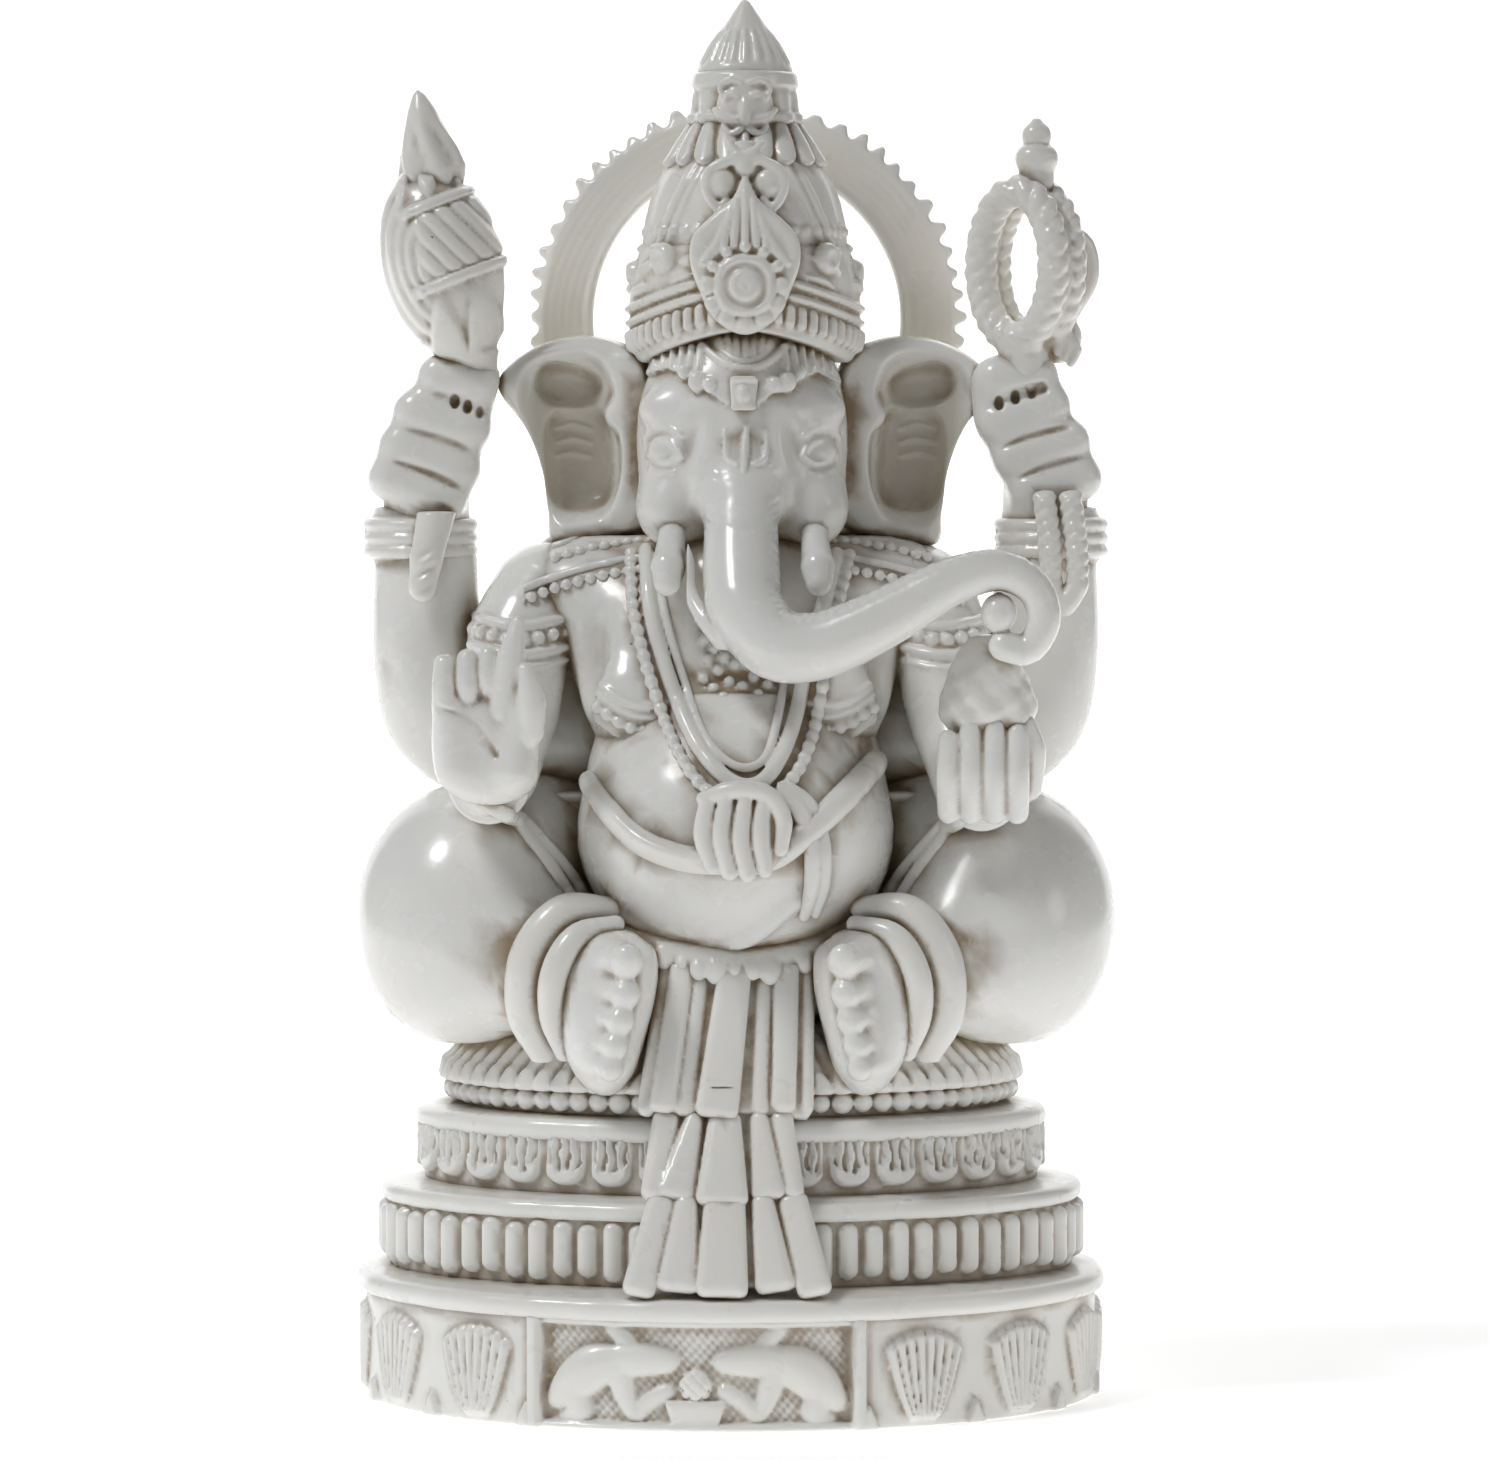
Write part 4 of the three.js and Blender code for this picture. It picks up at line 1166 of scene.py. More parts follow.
def turned_body(clay, heights, radii, relief, low, high, edge=0.4):
    """A turned shape about the crown's axis, with relief(turn, z) added to its radius."""
    radius, turn, z = crown_space(clay)
    out = radius - np.interp(z, heights, radii) - relief(turn, z)
    clay.d = np.clip(slab_between(out * 0.92, z, low, high, edge), -FAR, FAR).astype(np.float32)


def row(turn, z, count, low, high, width, height):
    """A row of rounded upright bumps round the crown."""
    across = (np.mod(turn * count / (2 * math.pi), 1) - 0.5) * width
    return capsule_relief(across, z, low, high, 0.42 * width, height)


def crown_band(clay):
    """The wide band: two arched rims with teeth hung from them, roundels and scrolls above."""

    def arch(turn):
        return 118.6 - 3.4 * np.clip(np.abs(np.sin(turn)), 0, 1) ** 1.6 * (np.cos(turn) > -0.4)

    def relief(turn, z):
        level = z - arch(turn)
        rims = 0.6 * smooth_step(0.6, 0.15, np.abs(level)) + 0.6 * smooth_step(
            0.6, 0.15, np.abs(level - 1.5)
        )
        teeth = row(turn, level, 56, -3.3, -0.7, 1.4, 0.75)
        scrolls = 0.5 * smooth_step(
            0.15, 0.7, np.sin(turn * 7 + level * 1.1) * np.sin(level * 1.5 - turn * 3)
        )
        scrolls = scrolls * smooth_step(2.2, 2.8, level)
        return rims + teeth + scrolls - 0.3

    heights = [110.8, 113.4, 117.7, 120.4, 123.0, 124.2]
    turned_body(clay, heights, [11.9, 12.5, 12.7, 12.4, 11.6, 10.8], relief, 111.0, 124.0, 0.8)
    # its lower edge is arched too, and leaves the fringe of the cap free
    _, turn, z = crown_space(clay)
    clay.d = np.maximum(clay.d, (arch(turn) - 4.3 - z) * 0.9).astype(np.float32)
    for side in (-1, 1):
        for turn, z, size in ((0.82, 122.0, 1.7), (1.45, 120.6, 1.3)):
            x, y = HEAD_X + side * 11.9 * math.sin(turn), CROWN_Y - 11.9 * math.cos(turn)
            clay.put(egg((x, y, z), (size, 1.2, size), (0, 0, math.degrees(side * turn))), 0.4)
            dent = (x + side * 1.3 * math.sin(turn), y - 1.3 * math.cos(turn), z)
            clay.cut(egg(dent, (size * 0.6, 0.6, size * 0.6), (0, 0, math.degrees(side * turn))), 0.4)


def crown_dome(clay):
    def relief(turn, z):
        lean = np.abs(turn) + (z - 123.5) * 0.035
        double = 0
        for middle in (0.85, 1.0, 1.75, 1.9, 2.5, 2.65):
            double = double + 0.22 * smooth_step(0.06, 0.02, np.abs(lean - middle))
        return double + row(turn, z, 44, 124.4, 125.6, 1.4, 0.3)

    heights = [123, 124, 126, 128.3, 130.4, 132.4]
    turned_body(clay, heights, [11.1, 10.9, 10.6, 10.0, 9.2, 8.0], relief, 123.0, 132.4)


def crown_petal_tier(clay):
    """Overlapped petals that hang from the drum, their rounded tips at the foot."""

    def relief(turn, z):
        lean = np.abs(turn) * 17 / (2 * math.pi) - (z - 131.8) * 0.09
        across = np.abs(np.mod(lean, 1) - 0.5) * 2
        cushion = 1.1 * np.sqrt(np.clip(1 - across**2, 0, 1)) * smooth_step(
            -0.2, 0.8, z - 131.6 - 1.4 * across**2
        )
        return cushion - 0.8

    heights = [131.2, 132.2, 134.4, 136.9]
    turned_body(clay, heights, [8.7, 8.8, 7.4, 5.6], relief, 131.4, 136.9, 0.7)


def crown_drum(clay):
    def relief(turn, z):
        ledge = 0.35 * smooth_step(
            0.8, 0.4, np.abs(z - 137.0)
        ) + 0.35 * smooth_step(1.0, 0.6, np.abs(z - 141.2))
        return ledge - 0.1 - 0.15 * np.cos(turn * 11) * smooth_step(140.2, 139.6, z)

    turned_body(clay, [136, 139, 142.2], [6.0, 5.7, 5.3], relief, 136.2, 142.2, 0.6)
    # a small scrolled mask in front
    front = CROWN_Y - 5.6
    clay.put(egg((HEAD_X, front, 138.2), (3.0, 1.7, 3.2)), 0.8)
    clay.put(egg((HEAD_X, front - 1.6, 137.6), (0.6, 0.6, 1.4)), 0.4)
    for side in (-1, 1):
        scrolls = (
            (
                (0.3, -1.2, 140.6, 0.3), (1.6, -1.1, 141.0, 0.36), (2.7, -0.8, 140.2, 0.34),
                (2.4, -1.1, 139.2, 0.26),
            ),
            ((0.8, -1.7, 139.3, 0.24), (1.7, -1.5, 139.5, 0.28), (2.1, -1.3, 138.7, 0.24)),
            ((0.8, -1.5, 136.7, 0.34), (2.2, -1.1, 136.9, 0.4), (3.2, -0.5, 137.8, 0.36)),
            ((0.5, -1.2, 135.7, 0.4), (1.6, -1.0, 135.1, 0.45), (2.2, -0.6, 136.0, 0.4)),
        )
        for scroll in scrolls:
            clay.line([(HEAD_X + side * d, front + f, z, r) for d, f, z, r in scroll], 0.25)


def crown_finial(clay):
    def relief(turn, z):
        return 0.16 * np.cos(turn * 20) * smooth_step(147, 146, z) * smooth_step(142.6, 143.2, z)

    heights = [141.7, 142.4, 143.4, 145.0, 147.0, 148.6, 149.6, 150]
    turned_body(clay, heights, [5.2, 5.1, 4.6, 3.75, 2.3, 1.2, 0.5, 0.15], relief, 141.8, 149.9, 0.2)


LEAF = [
    (0.3, 130.4), (1.3, 128.2), (3.9, 126.0), (5.6, 124.0), (5.8, 121.4), (4.8, 118.4), (3.2, 115.4),
    (0, 113.8),
]


def crown_leaf_plate(clay):
    """The ogee leaf in front, with its rosette, pearls and the two scrolls at its tip."""
    outline = [(HEAD_X + d, z) for d, z in LEAF] + [(HEAD_X - d, z) for d, z in LEAF[-2::-1]]
    clay.put(plate(outline, -15.0, -10.5, 0.7))
    front = -15.1
    middle = 119.0
    for k in range(-5, 6):
        spread = k * 0.2
        a = (HEAD_X + 4.6 * math.sin(spread * 1.3), front + 0.1, middle + 4.4 * math.cos(spread))
        b = (
            HEAD_X + 4.6 * math.sin(spread) * (1 - 0.07 * abs(k)), front + 0.2, 128.8 - 0.85 * abs(k) ** 1.2
        )
        clay.put(bar(a, b, 0.45, 0.32), 0.12)
    clay.put(egg((HEAD_X, front + 0.2, middle), (3.3, 1.4, 3.3), power=2.6), 0.2)
    clay.cut(ring((HEAD_X, front - 1.2, middle), 2.2, 0.7), 0.15)
    spiral = [
        (HEAD_X + 0.1 * k * math.sin(k * 0.55), front - 1.3, middle + 0.1 * k * math.cos(k * 0.55), 0.24)
        for k in range(3, 14)
    ]
    clay.line(spiral, 0.1, spacing=0.4, carve=True)
    for k in range(-3, 4):
        turn = math.radians(180 + 30 * k)
        at = (HEAD_X + 3.9 * math.sin(turn), front + 0.3, middle + 4.0 * math.cos(turn))
        clay.put(egg(at, (0.95, 0.8, 0.85), (0, math.degrees(turn), 0), power=2.6), 0.2)
    for k in range(-2, 3):
        turn = math.radians(30 * k)
        clay.put(
            egg(
                (HEAD_X + 3.9 * math.sin(turn), front - 0.1, middle + 4.0 * math.cos(turn)), (0.6, 0.6, 0.6)
            ),
            0.2,
        )
    for side in (-1, 1):
        loop = (
            (0.3, 132.4, 0.6), (1.6, 132.2, 0.55), (3.6, 131.2, 0.55), (4.1, 129.2, 0.55),
            (3.0, 127.2, 0.5), (1.9, 128.0, 0.4),
        )
        clay.line([(HEAD_X + side * d, -13.2, z, r) for d, z, r in loop], 0.2)
        clay.put(egg((HEAD_X + side * 2.2, -12.0, 130.0), (2.3, 1.1, 2.4)), 0.3)
        clay.put(egg((HEAD_X + side * 2.4, -13.2, 129.9), (0.7, 0.5, 0.7)), 0.2)
        clay.put(
            bar((HEAD_X + side * 2.4, -12.2, 129.8), (HEAD_X + side * 2.2, -8.8, 130.6), 1.8, 1.6), 0.4
        )
        clay.line(
            [
                (HEAD_X + side * 0.5, -13.0, 132.6, 0.5),
                (HEAD_X + side * 1.7, -12.2, 134.0, 0.55),
                (HEAD_X + side * 0.7, -11.4, 135.4, 0.5),
            ],
            0.2,
        )
    clay.put(bar((HEAD_X, -12.8, 131.6), (HEAD_X, -9.0, 135.4), 1.2, 1.1), 0.4)


def forehead_pendant(clay):
    """A small square drop with a jewel in its middle."""
    clay.put(strap((1.4, -13.9, 109.4), (1.3, -14.3, 106.0), 1.55, 1.2, 0.75, 0.4))
    clay.put(egg((1.35, -14.9, 107.6), (0.75, 0.5, 0.95)), 0.2)
    for z in (109.2, 106.2):
        clay.put(bar((0.3, -14.7, z), (2.4, -14.7, z), 0.35), 0.1)


# ---------------------------------------------------------------- dress and jewels
BELT = [
    (-15.6, 67.4, 1.1), (-13.0, 64.2, 1.3), (-9.5, 61.0, 1.4), (-5.2, 59.4, 1.45), (-1.0, 59.0, 1.4),
    (4.0, 59.2, 1.3),
]
BELT += [(8.0, 62.0, 1.4), (12.0, 65.6, 1.5), (15.8, 69.2, 1.4)]


def belt_snake(clay, skin):
    clay.line(skin.lay(BELT, 0.25), 0.3)
    clay.line(skin.lay([(x, z + 0.3, r * 0.45) for x, z, r in BELT[:5]], 2.6), 0.6)


def belt_knot(clay, skin):
    """A flat knot of folded cloth: a rolled edge over and beside three hanging folds."""
    y = skin.at(2.0, 62.0) - 0.6
    clay.put(egg((1.6, y + 0.9, 62.0), (4.4, 2.7, 4.4), power=2.6))
    folds = (
        ((-2.4, 65.2, 0.9), (-2.8, 61.8, 1.1), (-1.9, 58.6, 0.9)),
        ((-0.5, 65.6, 0.8), (-0.9, 61.6, 1.1), (-0.1, 58.0, 0.9)),
        ((1.5, 65.6, 0.8), (1.1, 61.4, 1.1), (1.8, 57.8, 0.9)),
        ((3.4, 65.2, 0.8), (3.1, 61.6, 1.1), (3.6, 58.2, 0.8)),
        ((-2.8, 65.6, 0.8), (0.2, 66.6, 1.0), (3.6, 66.2, 1.0), (5.4, 63.6, 1.0), (5.2, 60.4, 0.8)),
    )
    for fold in folds:
        clay.line([(x, y - 1.6 + 0.03 * (x - 2) ** 2, z, r) for x, z, r in fold], 0.1)


def belt_tail(clay, skin):
    path = [(5.2, 66.4, 0.9), (7.6, 64.4, 0.95), (8.9, 60.6, 0.95), (9.0, 56.6, 0.9), (8.2, 53.0, 0.6)]
    clay.line(skin.lay([(x - 0.5, z, r) for x, z, r in path], 0.6), 0.3)
    clay.line(skin.lay([(x + 0.7, z + 0.2, r * 0.9) for x, z, r in path], 0.4), 0.3)


GARLAND_BEADS = [
    (-10.7, 92.6), (-10.4, 85.8), (-9.3, 80.5), (-8.0, 76.3), (-6.4, 72.1), (-4.3, 68.4), (-1.6, 65.8)
]
GARLAND_BEADS += [
    (2.4, 64.8), (6.3, 67.4), (8.3, 71.0), (9.4, 75.3), (10.0, 79.0), (11.0, 84.0), (12.6, 90.5)
]
GARLAND_MIDDLE = [
    (-9.1, 93.0), (-8.6, 85.8), (-7.4, 80.5), (-5.6, 75.3), (-3.2, 70.5), (0.2, 67.2), (3.2, 67.2)
]
GARLAND_MIDDLE += [(5.6, 70.5), (7.2, 75.3), (7.9, 79.0), (9.6, 84.8), (11.2, 90.6)]
GARLAND_INNER = [
    (-7.8, 90.4), (-7.0, 84.6), (-5.0, 77.6), (-2.6, 71.6), (0.6, 68.8), (3.4, 69.4), (4.8, 73.1),
    (5.9, 78.6),
]


def garland(clay, skin):
    """Two plain strands inside and a string of beads outside."""
    clay.line(skin.lay([(x, z, 0.85) for x, z in GARLAND_MIDDLE], 0.35), 0.2)
    clay.line(skin.lay([(x, z, 0.5) for x, z in GARLAND_INNER], 0.4), 0.2)
    clay.line(skin.lay([(x, z, 0.6) for x, z in GARLAND_BEADS], 0.0), 0.3)
    clay.beads([p[:3] for p in skin.lay([(x, z, 0.8) for x, z in GARLAND_BEADS], 0.35)], 0.75, 1.02)


def collar(clay, skin):
    """Two rows of beads over each shoulder, with a plain cord above each row."""
    for side in (-1, 1):
        for row_points, r in (
            (((8.6, 92.0), (12.0, 91.8), (16.0, 91.2), (19.8, 90.2)), 0.62),
            (((9.4, 89.2), (13.6, 88.6), (18.6, 87.4), (23.6, 85.6)), 0.62),
        ):
            points = [(HEAD_X - 0.4 + side * d, z, r) for d, z in row_points]
            clay.beads([p[:3] for p in skin.lay(points, 0.3)], r, 1.08)
            clay.line(skin.lay([(x, z + 1.2, 0.5) for x, z, _ in points], 0.1), 0.3)


def waist_band(clay, skin):
    """The scalloped hem that shows under the belly."""
    path = [(-13.6, 51.6), (-9.6, 50.0), (-3.2, 48.5), (1.0, 48.0), (6.0, 48.4), (10.6, 49.9), (14.2, 51.5)]
    clay.line([(x, -17.8 + 0.022 * x * x, z, 1.7) for x, z in path])
    for k, p in enumerate(smooth_path([(x, -19.3 + 0.022 * x * x, z - 1.0) for x, z in path], 1.9)):
        size = 0.95 + 0.3 * math.sin(k * 2.1)
        clay.put(egg((p[0], p[1], p[2] - 0.3 * math.sin(k * 1.3)), (size, 0.8, size * 1.2)), 0.35)


def shawl_end(clay, side, skin):
    path = [(29.0, 67.0, 0.9), (23.6, 63.0, 1.0), (19.0, 57.6, 1.1), (15.6, 52.4, 1.1), (12.2, 49.6, 0.8)]
    for off, r in ((-1.1, 0.8), (0.9, 0.7)):
        clay.line(
            skin.lay([(BODY_X + side * (d + off), z + off * 0.6, s * r) for d, z, s in path], 0.2), 0.4
        )


# ---------------------------------------------------------------- what is made of what
PLINTH, FIGURE, ORNAMENT = "plinth_stone", "figure_stone", "ornament_stone"
PIECES = [
    ("plinth_lower", PLINTH, tier, (lower_relief,), FINE_STEP),
    ("plinth_middle", PLINTH, tier, (middle_relief,), STEP),
    ("plinth_upper", PLINTH, tier, (upper_relief,), FINE_STEP),
    ("lip_lower", PLINTH, lip, (), STEP),
    ("lip_middle", PLINTH, lip, (), STEP),
    ("lip_upper", PLINTH, lip, (), STEP),
    ("bead_ring", PLINTH, bead_ring, (), STEP),
    ("lotus_seat", PLINTH, lotus_seat, (), STEP),
    ("belly", FIGURE, belly, (), STEP),
    ("chest", FIGURE, chest, (), STEP),
    ("hips", FIGURE, hips, (), STEP),
    ("neck", FIGURE, neck, (), STEP),
    ("head", FIGURE, head, (), FINE_STEP),
    ("trunk", FIGURE, trunk, (), FINE_STEP),
    ("right_front_hand", FIGURE, right_front_hand, (), FINE_STEP),
    ("left_front_hand", FIGURE, left_front_hand, (), FINE_STEP),
    ("sweets_heap", ORNAMENT, sweets_heap, (), FINE_STEP),
    ("mace", ORNAMENT, mace, (), FINE_STEP),
    ("mace_finial", ORNAMENT, mace_finial, (), FINE_STEP),
    ("mace_handle_end", ORNAMENT, mace_handle_end, (), FINE_STEP),
    ("noose_ring", ORNAMENT, noose_ring, (), FINE_STEP),
    ("noose_finial", ORNAMENT, noose_finial, (), FINE_STEP),
    ("noose_cord", ORNAMENT, noose_cord, (), FINE_STEP),
    ("halo", ORNAMENT, halo, (), STEP),
    ("crown_band", ORNAMENT, crown_band, (), FINE_STEP),
    ("crown_dome", ORNAMENT, crown_dome, (), FINE_STEP),
    ("crown_petal_tier", ORNAMENT, crown_petal_tier, (), FINE_STEP),
    ("crown_drum", ORNAMENT, crown_drum, (), FINE_STEP),
    ("crown_finial", ORNAMENT, crown_finial, (), FINE_STEP),
    ("crown_leaf_plate", ORNAMENT, crown_leaf_plate, (), FINE_STEP),
    ("forehead_pendant", ORNAMENT, forehead_pendant, (), FINE_STEP),
    ("drapery_upper", ORNAMENT, drapery, (), FINE_STEP),
    ("drapery_middle", ORNAMENT, drapery, (), FINE_STEP),
    ("drapery_lower", ORNAMENT, drapery, (), FINE_STEP),
]
JEWELS = [  # pieces laid on the front of the body
    ("belt_snake", belt_snake, ()),
    ("belt_knot", belt_knot, ()),
    ("belt_tail", belt_tail, ()),
    ("garland", garland, ()),
    ("collar", collar, ()),
    ("waist_band", waist_band, ()),
]
for side_name, side in (("right", -1), ("left", 1)):
    PIECES += [
        (f"{side_name}_ear", FIGURE, ear, (side,), FINE_STEP),
        (f"{side_name}_tusk", FIGURE, tusk, (side,), FINE_STEP),
        (f"{side_name}_leg", FIGURE, leg, (side,), STEP),
        (f"{side_name}_foot", FIGURE, foot, (side,), FINE_STEP),
        (f"{side_name}_anklet", ORNAMENT, anklet, (side,), FINE_STEP),
        (f"{side_name}_front_arm", FIGURE, front_arm, (side,), STEP),
        (f"{side_name}_rear_arm", FIGURE, rear_arm, (side,), STEP),
        (f"{side_name}_rear_hand", FIGURE, rear_hand, (side,), FINE_STEP),
        (f"{side_name}_cuff", ORNAMENT, cuff, (side,), FINE_STEP),
    ]
    JEWELS.append((f"{side_name}_shawl_end", shawl_end, (side,)))
BODY = ("belly", "chest", "hips", "neck", "right_leg", "left_leg", "right_front_arm", "left_front_arm")


# ---------------------------------------------------------------- hollows, where the stain stays and painted shade is laid
class Surroundings:
    """How much stone lies around a point, near by and further off, on one grid over the object."""

    def __init__(self, clays, step=0.5):
        low, high = (np.array(corner) / MM for corner in cad_bounds)
        self.low, self.step = low - 5, step
        counts = np.ceil((high - low + 10) / step).astype(int)
        self.axes = [self.low[k] + step * np.arange(counts[k]) for k in range(3)]
        whole = np.full(counts, FAR, np.float32)
        for clay in clays:
            self.add(whole, clay)
        self.near = self.blurred(np.clip(whole, -1.2, 1.2), 1, 2)
        self.wide = self.blurred(np.clip(whole, -4, 4), 4, 2)

    def add(self, whole, clay):
        cut, d = [], clay.d
        for k, axis in enumerate(self.axes):
            first = int(np.searchsorted(axis, clay.axes[k][0]))
            last = int(np.searchsorted(axis, clay.axes[k][-1]))
            at = (axis[first:last] - clay.axes[k][0]) / clay.step
            index = np.minimum(at.astype(int), d.shape[k] - 2)
            weight = (at - index).reshape([-1 if j == k else 1 for j in range(3)])
            d = np.take(d, index, k) * (1 - weight) + np.take(d, index + 1, k) * weight
            cut.append(slice(first, last))
        whole[tuple(cut)] = np.minimum(whole[tuple(cut)], d)

    @staticmethod
    def blurred(values, reach, passes):
        for _ in range(passes):
            for k in range(3):
                pad = [(reach + 1, reach) if j == k else (0, 0) for j in range(3)]
                total = np.cumsum(np.pad(values, pad, mode="edge"), axis=k, dtype=np.float64)
                size = values.shape[k]
                upper = np.take(total, range(2 * reach + 1, 2 * reach + 1 + size), k)
                lower = np.take(total, range(0, size), k)
                values = ((upper - lower) / (2 * reach + 1)).astype(np.float32)
        return values

    def at(self, field, points):
        return between_samples(field, (points - self.low) / self.step)


# ---------------------------------------------------------------- meshes
def surface_normals(distances, points):
    """The slope of the clay's distances at points given in grid steps, so that shading stays smooth."""
    normals = np.empty((len(points), 3), np.float32)
    for k in range(3):
        ahead, behind = points.copy(), points.copy()
        ahead[:, k] += 0.6
        behind[:, k] -= 0.6
        normals[:, k] = between_samples(distances, ahead) - between_samples(distances, behind)
    return normals / np.maximum(np.linalg.norm(normals, axis=1), 1e-6)[:, None]


def between_samples(field, where):
    """Values of an even grid at places given in grid steps."""
    where = np.clip(where, 0, np.array(field.shape) - 1.001)
    index = where.astype(int)
    part = where - index
    total = np.zeros(len(where), np.float32)
    for corner in np.ndindex(2, 2, 2):
        weight = np.prod(np.where(corner, part, 1 - part), axis=1)
        total += weight * field[tuple((index + corner).T)]
    return total


def mesh_from(clay):
    distances = clay.closed()
    vdb = openvdb.FloatGrid(FAR)
    vdb.copyFromArray(distances)
    points, triangles, quads = vdb.convertToPolygons(isovalue=0.0, adaptivity=ADAPTIVITY)
    normals = surface_normals(distances, points)
    points = (clay.low + points * clay.step) * MM
    mesh = bpy.data.meshes.new(clay.node)
    mesh.vertices.add(len(points))
    mesh.vertices.foreach_set("co", points.astype(np.float32).ravel())
    corners = np.concatenate([quads.ravel(), triangles.ravel()]).astype(np.int32)
    mesh.loops.add(len(corners))
    mesh.loops.foreach_set("vertex_index", corners)
    starts = np.concatenate([np.arange(len(quads)) * 4, len(quads) * 4 + np.arange(len(triangles)) * 3])
    mesh.polygons.add(len(starts))
    mesh.polygons.foreach_set("loop_start", starts.astype(np.int32))
    mesh.update(calc_edges=True)
    mesh.validate()
    mesh.shade_smooth()
    if len(mesh.vertices) == len(normals):
        mesh.normals_split_custom_set_from_vertices(normals)
    return mesh


def mark_hollows(mesh, surroundings):
    """Point attributes: hollow, for carved grooves and seams, and one for stain with painted shade over broad
    recesses.
    """
    count = len(mesh.vertices)
    points = np.empty(count * 3, np.float32)
    mesh.vertices.foreach_get("co", points)
    points = points.reshape(-1, 3) / MM
    near = -surroundings.at(surroundings.near, points)
    wide = -surroundings.at(surroundings.wide, points)
    # how far a point lies in a broad recess: there the colour gets painted shade along with thin stain
    stain_and_painted_shade = smooth_step(0.1, 1.25, wide)
    if "ear" in mesh.name:
        # the dishes of the ears are darker the further back they lie: painted shade, with some stain
        stain_and_painted_shade = np.maximum(stain_and_painted_shade, 0.75 * smooth_step(-1.2, 1.8, points[:, 1]))
    for name, values in (("hollow", smooth_step(0.0, 0.22, near)), ("stain_and_painted_shade", stain_and_painted_shade)):
        mesh.attributes.new(name, "FLOAT", "POINT").data.foreach_set("value", values.astype(np.float32))


# ---------------------------------------------------------------- stone
class Nodes:
    """Short hand for building a node material."""

    def __init__(self, name):
        self.material = bpy.data.materials.new(name)
        self.material.use_nodes = True
        self.tree = self.material.node_tree
        self.shader = self.tree.nodes["Principled BSDF"]

    def new(self, kind, **values):
        node = self.tree.nodes.new(kind)
        for key, value in values.items():
            if hasattr(node, key):
                setattr(node, key, value)
            else:
                node.inputs[key.replace("_", " ")].default_value = value
        return node

    def link(self, out, into):
        self.tree.links.new(out, into)

    def attribute(self, name):
        return self.new("ShaderNodeAttribute", attribute_name=name).outputs["Fac"]

    def noise(self, scale, detail=3.0, rough=0.55):
        node = self.new("ShaderNodeTexNoise", Scale=scale, Detail=detail, Roughness=rough)
        self.link(self.position, node.inputs["Vector"])
        return node.outputs["Fac"]

    def ramp(self, value, low, high, to_low=0.0, to_high=1.0):
        node = self.new("ShaderNodeMapRange", interpolation_type="SMOOTHSTEP")
        self.link(value, node.inputs["Value"])
        for key, number in (("From Min", low), ("From Max", high), ("To Min", to_low), ("To Max", to_high)):
            node.inputs[key].default_value = number
        return node.outputs["Result"]

    def math(self, operation, a, b):
        node = self.new("ShaderNodeMath", operation=operation)
        for socket, value in zip(node.inputs, (a, b)):
            if isinstance(value, (int, float)):
                socket.default_value = value
            else:
                self.link(value, socket)
        return node.outputs["Value"]

    def mix(self, factor, a, b):
        node = self.new("ShaderNodeMix", data_type="RGBA")
        self.link(factor, node.inputs["Factor"])
        for key, value in ((6, a), (7, b)):
            if isinstance(value, tuple):
                node.inputs[key].default_value = (*value, 1)
            else:
                self.link(value, node.inputs[key])
        return node.outputs[2]


STAIN_AND_SHADE_TINT = (0.54, 0.485, 0.365)  # thin stain and painted shade over broad recesses


def stone(name, pale, warm, stain, stain_and_shade_amount, rough):
    """Milky, polished stone with antique stain in its hollows, stain and painted shade over broad recesses,
    and a few dark pits.
    """
    n = Nodes(name)
    n.position = n.new("ShaderNodeTexCoord").outputs["Object"]
    color = n.mix(n.ramp(n.noise(30, 2), 0.25, 0.8), pale, warm)
    cloud = n.ramp(n.noise(90, 2), 0.2, 0.75, 0.75, 1.0)
    # painted shade, with thin stain, tinted over broad recesses
    stain_and_painted_shade = n.math("MULTIPLY", n.math("MULTIPLY", n.attribute("stain_and_painted_shade"), cloud), stain_and_shade_amount)
    color = n.mix(stain_and_painted_shade, color, STAIN_AND_SHADE_TINT)
    blotch = n.ramp(n.noise(300, 4, 0.65), 0.25, 0.6, 0.5, 1.0)
    hollow = n.math("MULTIPLY", n.math("MULTIPLY", n.attribute("hollow"), blotch), stain_and_shade_amount)
    color = n.mix(hollow, color, stain)
    specks = n.new("ShaderNodeTexVoronoi", Scale=420.0, Randomness=1.0)
    n.link(n.position, specks.inputs["Vector"])
    rare = n.ramp(n.noise(800, 1), 0.7, 0.74)
    pits = n.math("MULTIPLY", n.ramp(specks.outputs["Distance"], 0.1, 0.05), rare)
    color = n.mix(n.math("MULTIPLY", pits, 0.8), color, (0.1, 0.09, 0.08))
    n.link(color, n.shader.inputs["Base Color"])
    smear = n.ramp(n.noise(300, 2), 0.3, 0.75, rough - 0.03, rough + 0.06)
    n.link(n.math("ADD", smear, n.math("MULTIPLY", hollow, 0.4)), n.shader.inputs["Roughness"])
    grain = n.math("SUBTRACT", n.noise(700, 3), n.math("MULTIPLY", pits, 1.5))
    bump = n.new("ShaderNodeBump", Strength=0.12, Distance=0.0003)
    n.link(grain, bump.inputs["Height"])
    n.link(bump.outputs["Normal"], n.shader.inputs["Normal"])
    for key, value in (
        ("Subsurface Weight", 0.2),
        ("Subsurface Scale", 0.0018),
        ("Subsurface Radius", (1.0, 0.82, 0.62)),
        ("IOR", 1.5),
        ("Coat Weight", 0.4),
        ("Coat Roughness", 0.13),
    ):
        n.shader.inputs[key].default_value = value
    return n.material


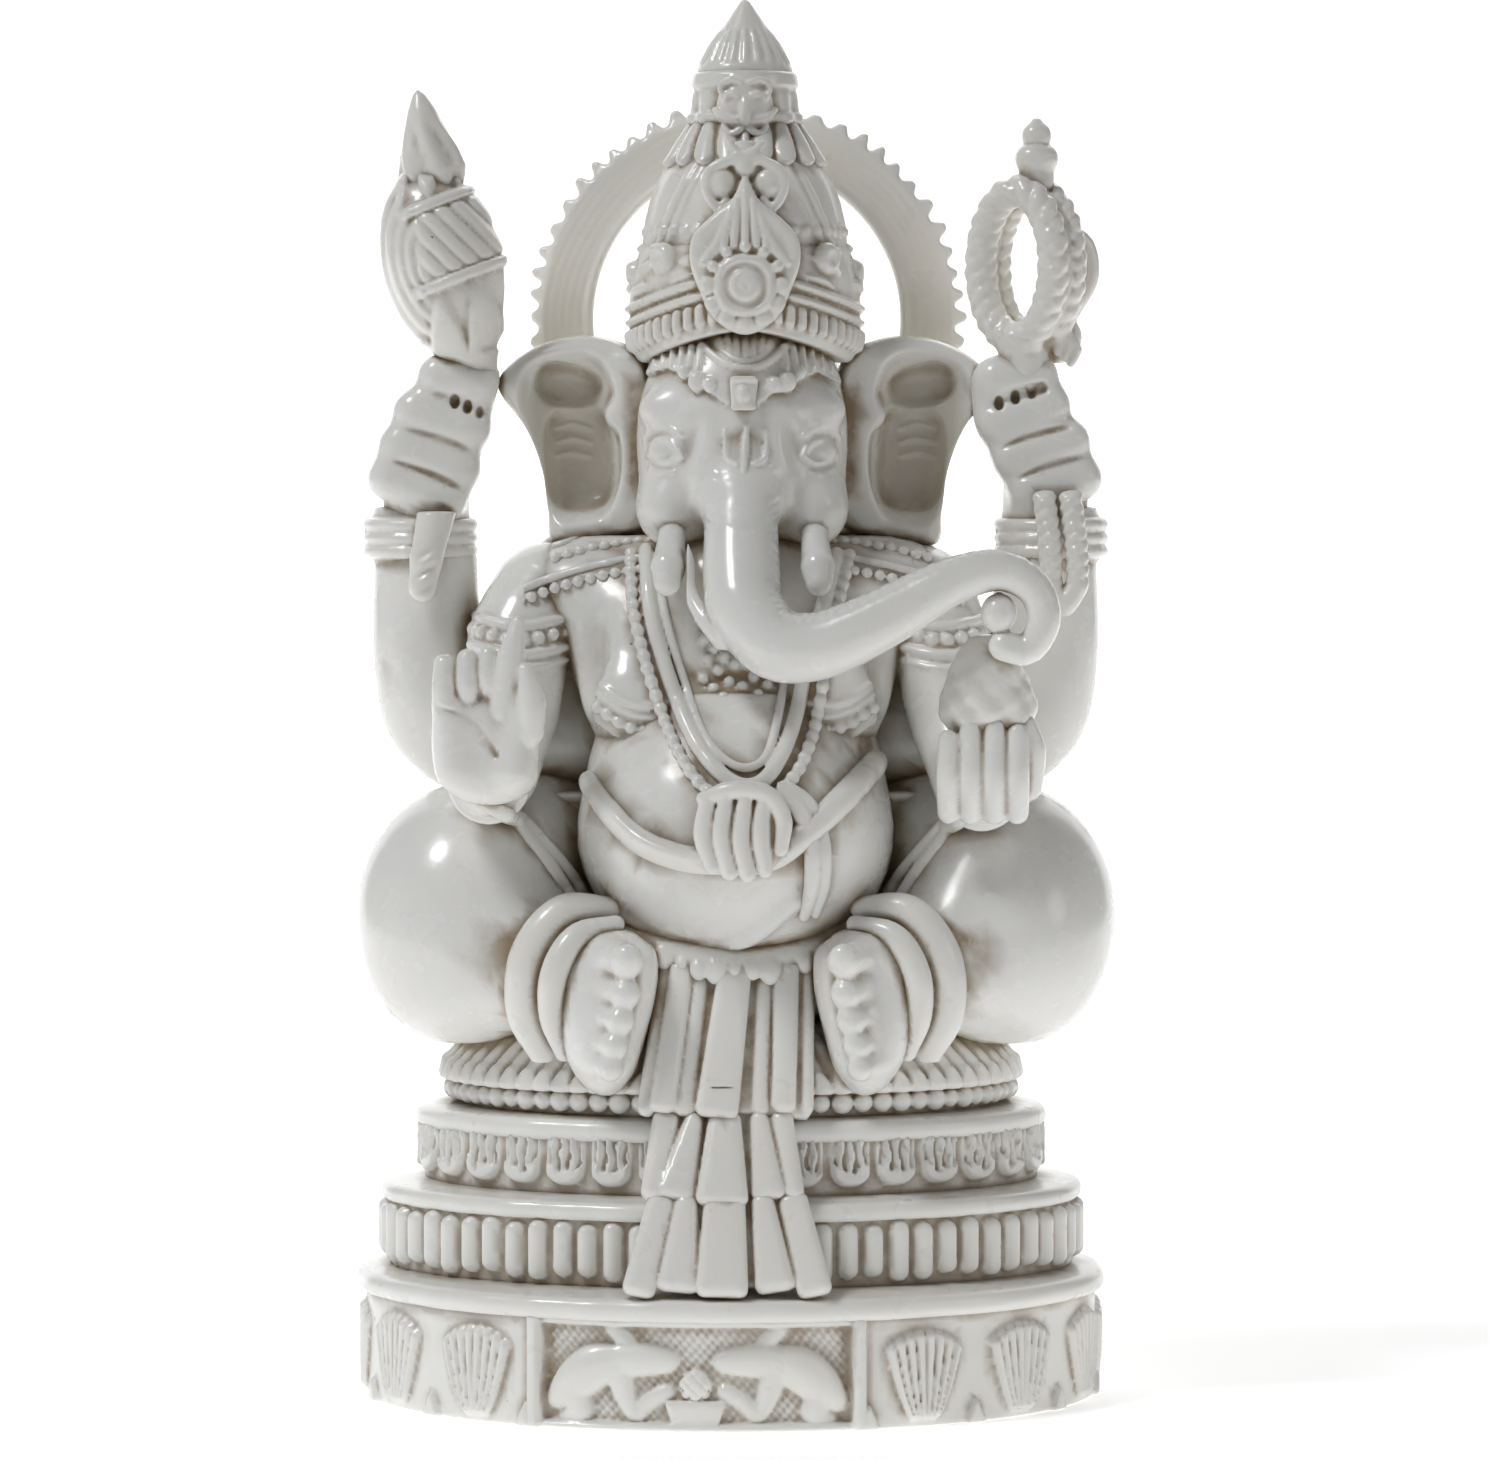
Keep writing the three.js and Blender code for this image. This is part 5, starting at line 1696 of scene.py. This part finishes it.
MATERIALS = {
    PLINTH: stone(
        "plinth_stone", (0.91, 0.905, 0.875), (0.90, 0.885, 0.84), (0.33, 0.245, 0.155), 0.8, 0.3
    ),
    FIGURE: stone(
        "figure_stone", (0.92, 0.915, 0.89), (0.91, 0.90, 0.865), (0.33, 0.245, 0.155), 1.0, 0.24
    ),
    ORNAMENT: stone(
        "ornament_stone", (0.91, 0.90, 0.865), (0.90, 0.88, 0.83), (0.33, 0.245, 0.155), 0.95, 0.3
    ),
}


# ---------------------------------------------------------------- assembly
def sculpt_all():
    clays = []
    for node, slot, sculptor, settings, step in PIECES:
        clay = Clay(node, step)
        sculptor(clay, *settings)
        clays.append((clay, slot))
    skin = FrontSkin([clay for clay, _ in clays if clay.node in BODY])
    for node, sculptor, settings in JEWELS:
        clay = Clay(node, FINE_STEP)
        sculptor(clay, *settings, skin)
        clays.append((clay, ORNAMENT))
    surroundings = Surroundings([clay for clay, _ in clays])
    for clay, slot in clays:
        mesh = mesh_from(clay)
        mark_hollows(mesh, surroundings)
        mesh.materials.append(MATERIALS[slot])
        piece = bpy.data.objects.new(f"{clay.node}_carved", mesh)
        bpy.context.scene.collection.objects.link(piece)
        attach(piece, "root")
        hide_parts(clay.node)


def floor():
    """A wide pale floor that rises behind into a backdrop with a round bend."""
    half, front, bend_at, bend = 1.2, -0.24, 0.9, 0.5
    profile = [(front, 0.0), (bend_at, 0.0)]
    for k in range(1, 13):
        turn = math.radians(90 * k / 12)
        profile.append((bend_at + bend * math.sin(turn), bend * (1 - math.cos(turn))))
    profile.append((bend_at + bend, 2.6))
    points = [(x, y, z) for y, z in profile for x in (-half, half)]
    faces = [(2 * k, 2 * k + 1, 2 * k + 3, 2 * k + 2) for k in range(len(profile) - 1)]
    mesh = bpy.data.meshes.new("studio_floor")
    mesh.from_pydata(points, [], faces)
    mesh.shade_smooth()
    n = Nodes("studio_white")
    n.position = n.new("ShaderNodeTexCoord").outputs["Object"]
    n.link(n.mix(n.noise(3, 2), (0.93, 0.93, 0.93), (0.95, 0.95, 0.95)), n.shader.inputs["Base Color"])
    n.shader.inputs["Roughness"].default_value = 0.9
    n.shader.inputs["Specular IOR Level"].default_value = 0.1
    n.shader.inputs["Emission Color"].default_value = (1, 1, 1, 1)
    glow = n.new("ShaderNodeSeparateXYZ")
    n.link(n.position, glow.inputs["Vector"])
    n.link(n.ramp(glow.outputs["Y"], 0.0, 0.3, 0.5, 0.85), n.shader.inputs["Emission Strength"])
    mesh.materials.append(n.material)
    sweep = bpy.data.objects.new("studio_floor", mesh)
    bpy.context.scene.collection.objects.link(sweep)


def area_light(name, at, aim, size, power, color):
    data = bpy.data.lights.new(name, "AREA")
    data.shape = "DISK"
    data.size = size
    data.energy = power
    data.color = color
    lamp = bpy.data.objects.new(name, data)
    lamp.location = at
    lamp.rotation_euler = (Vector(aim) - Vector(at)).to_track_quat("-Z", "Y").to_euler()
    bpy.context.scene.collection.objects.link(lamp)


def studio():
    middle = (0.0015, 0, 0.08)
    area_light("key_softbox", (-0.56, -0.36, 1.0), middle, 0.3, 4.9, (0.97, 0.985, 1.0))
    area_light("fill_softbox", (0.85, -0.45, 0.35), middle, 0.35, 0.55, (1.0, 0.96, 0.9))
    area_light("back_softbox", (0.15, 0.6, 0.75), middle, 0.5, 1.0, (1.0, 1.0, 1.0))
    world = bpy.data.worlds.new("studio_air")
    world.use_nodes = True
    world.node_tree.nodes["Background"].inputs["Color"].default_value = (1, 1, 1, 1)
    world.node_tree.nodes["Background"].inputs["Strength"].default_value = 0.13
    bpy.context.scene.world = world
    bpy.context.scene.view_settings.view_transform = "Standard"


def camera():
    data = bpy.data.cameras.new("camera")
    data.sensor_fit = "HORIZONTAL"
    data.sensor_width = 36
    data.lens = 152.7
    eye = bpy.data.objects.new("camera", data)
    eye.location = (0.00145, -0.68, 0.105)
    eye.rotation_euler = (Vector((0.00145, 0, 0.0715)) - eye.location).to_track_quat("-Z", "Y").to_euler()
    bpy.context.scene.collection.objects.link(eye)
    bpy.context.scene.camera = eye


camera()
floor()
studio()
sculpt_all()
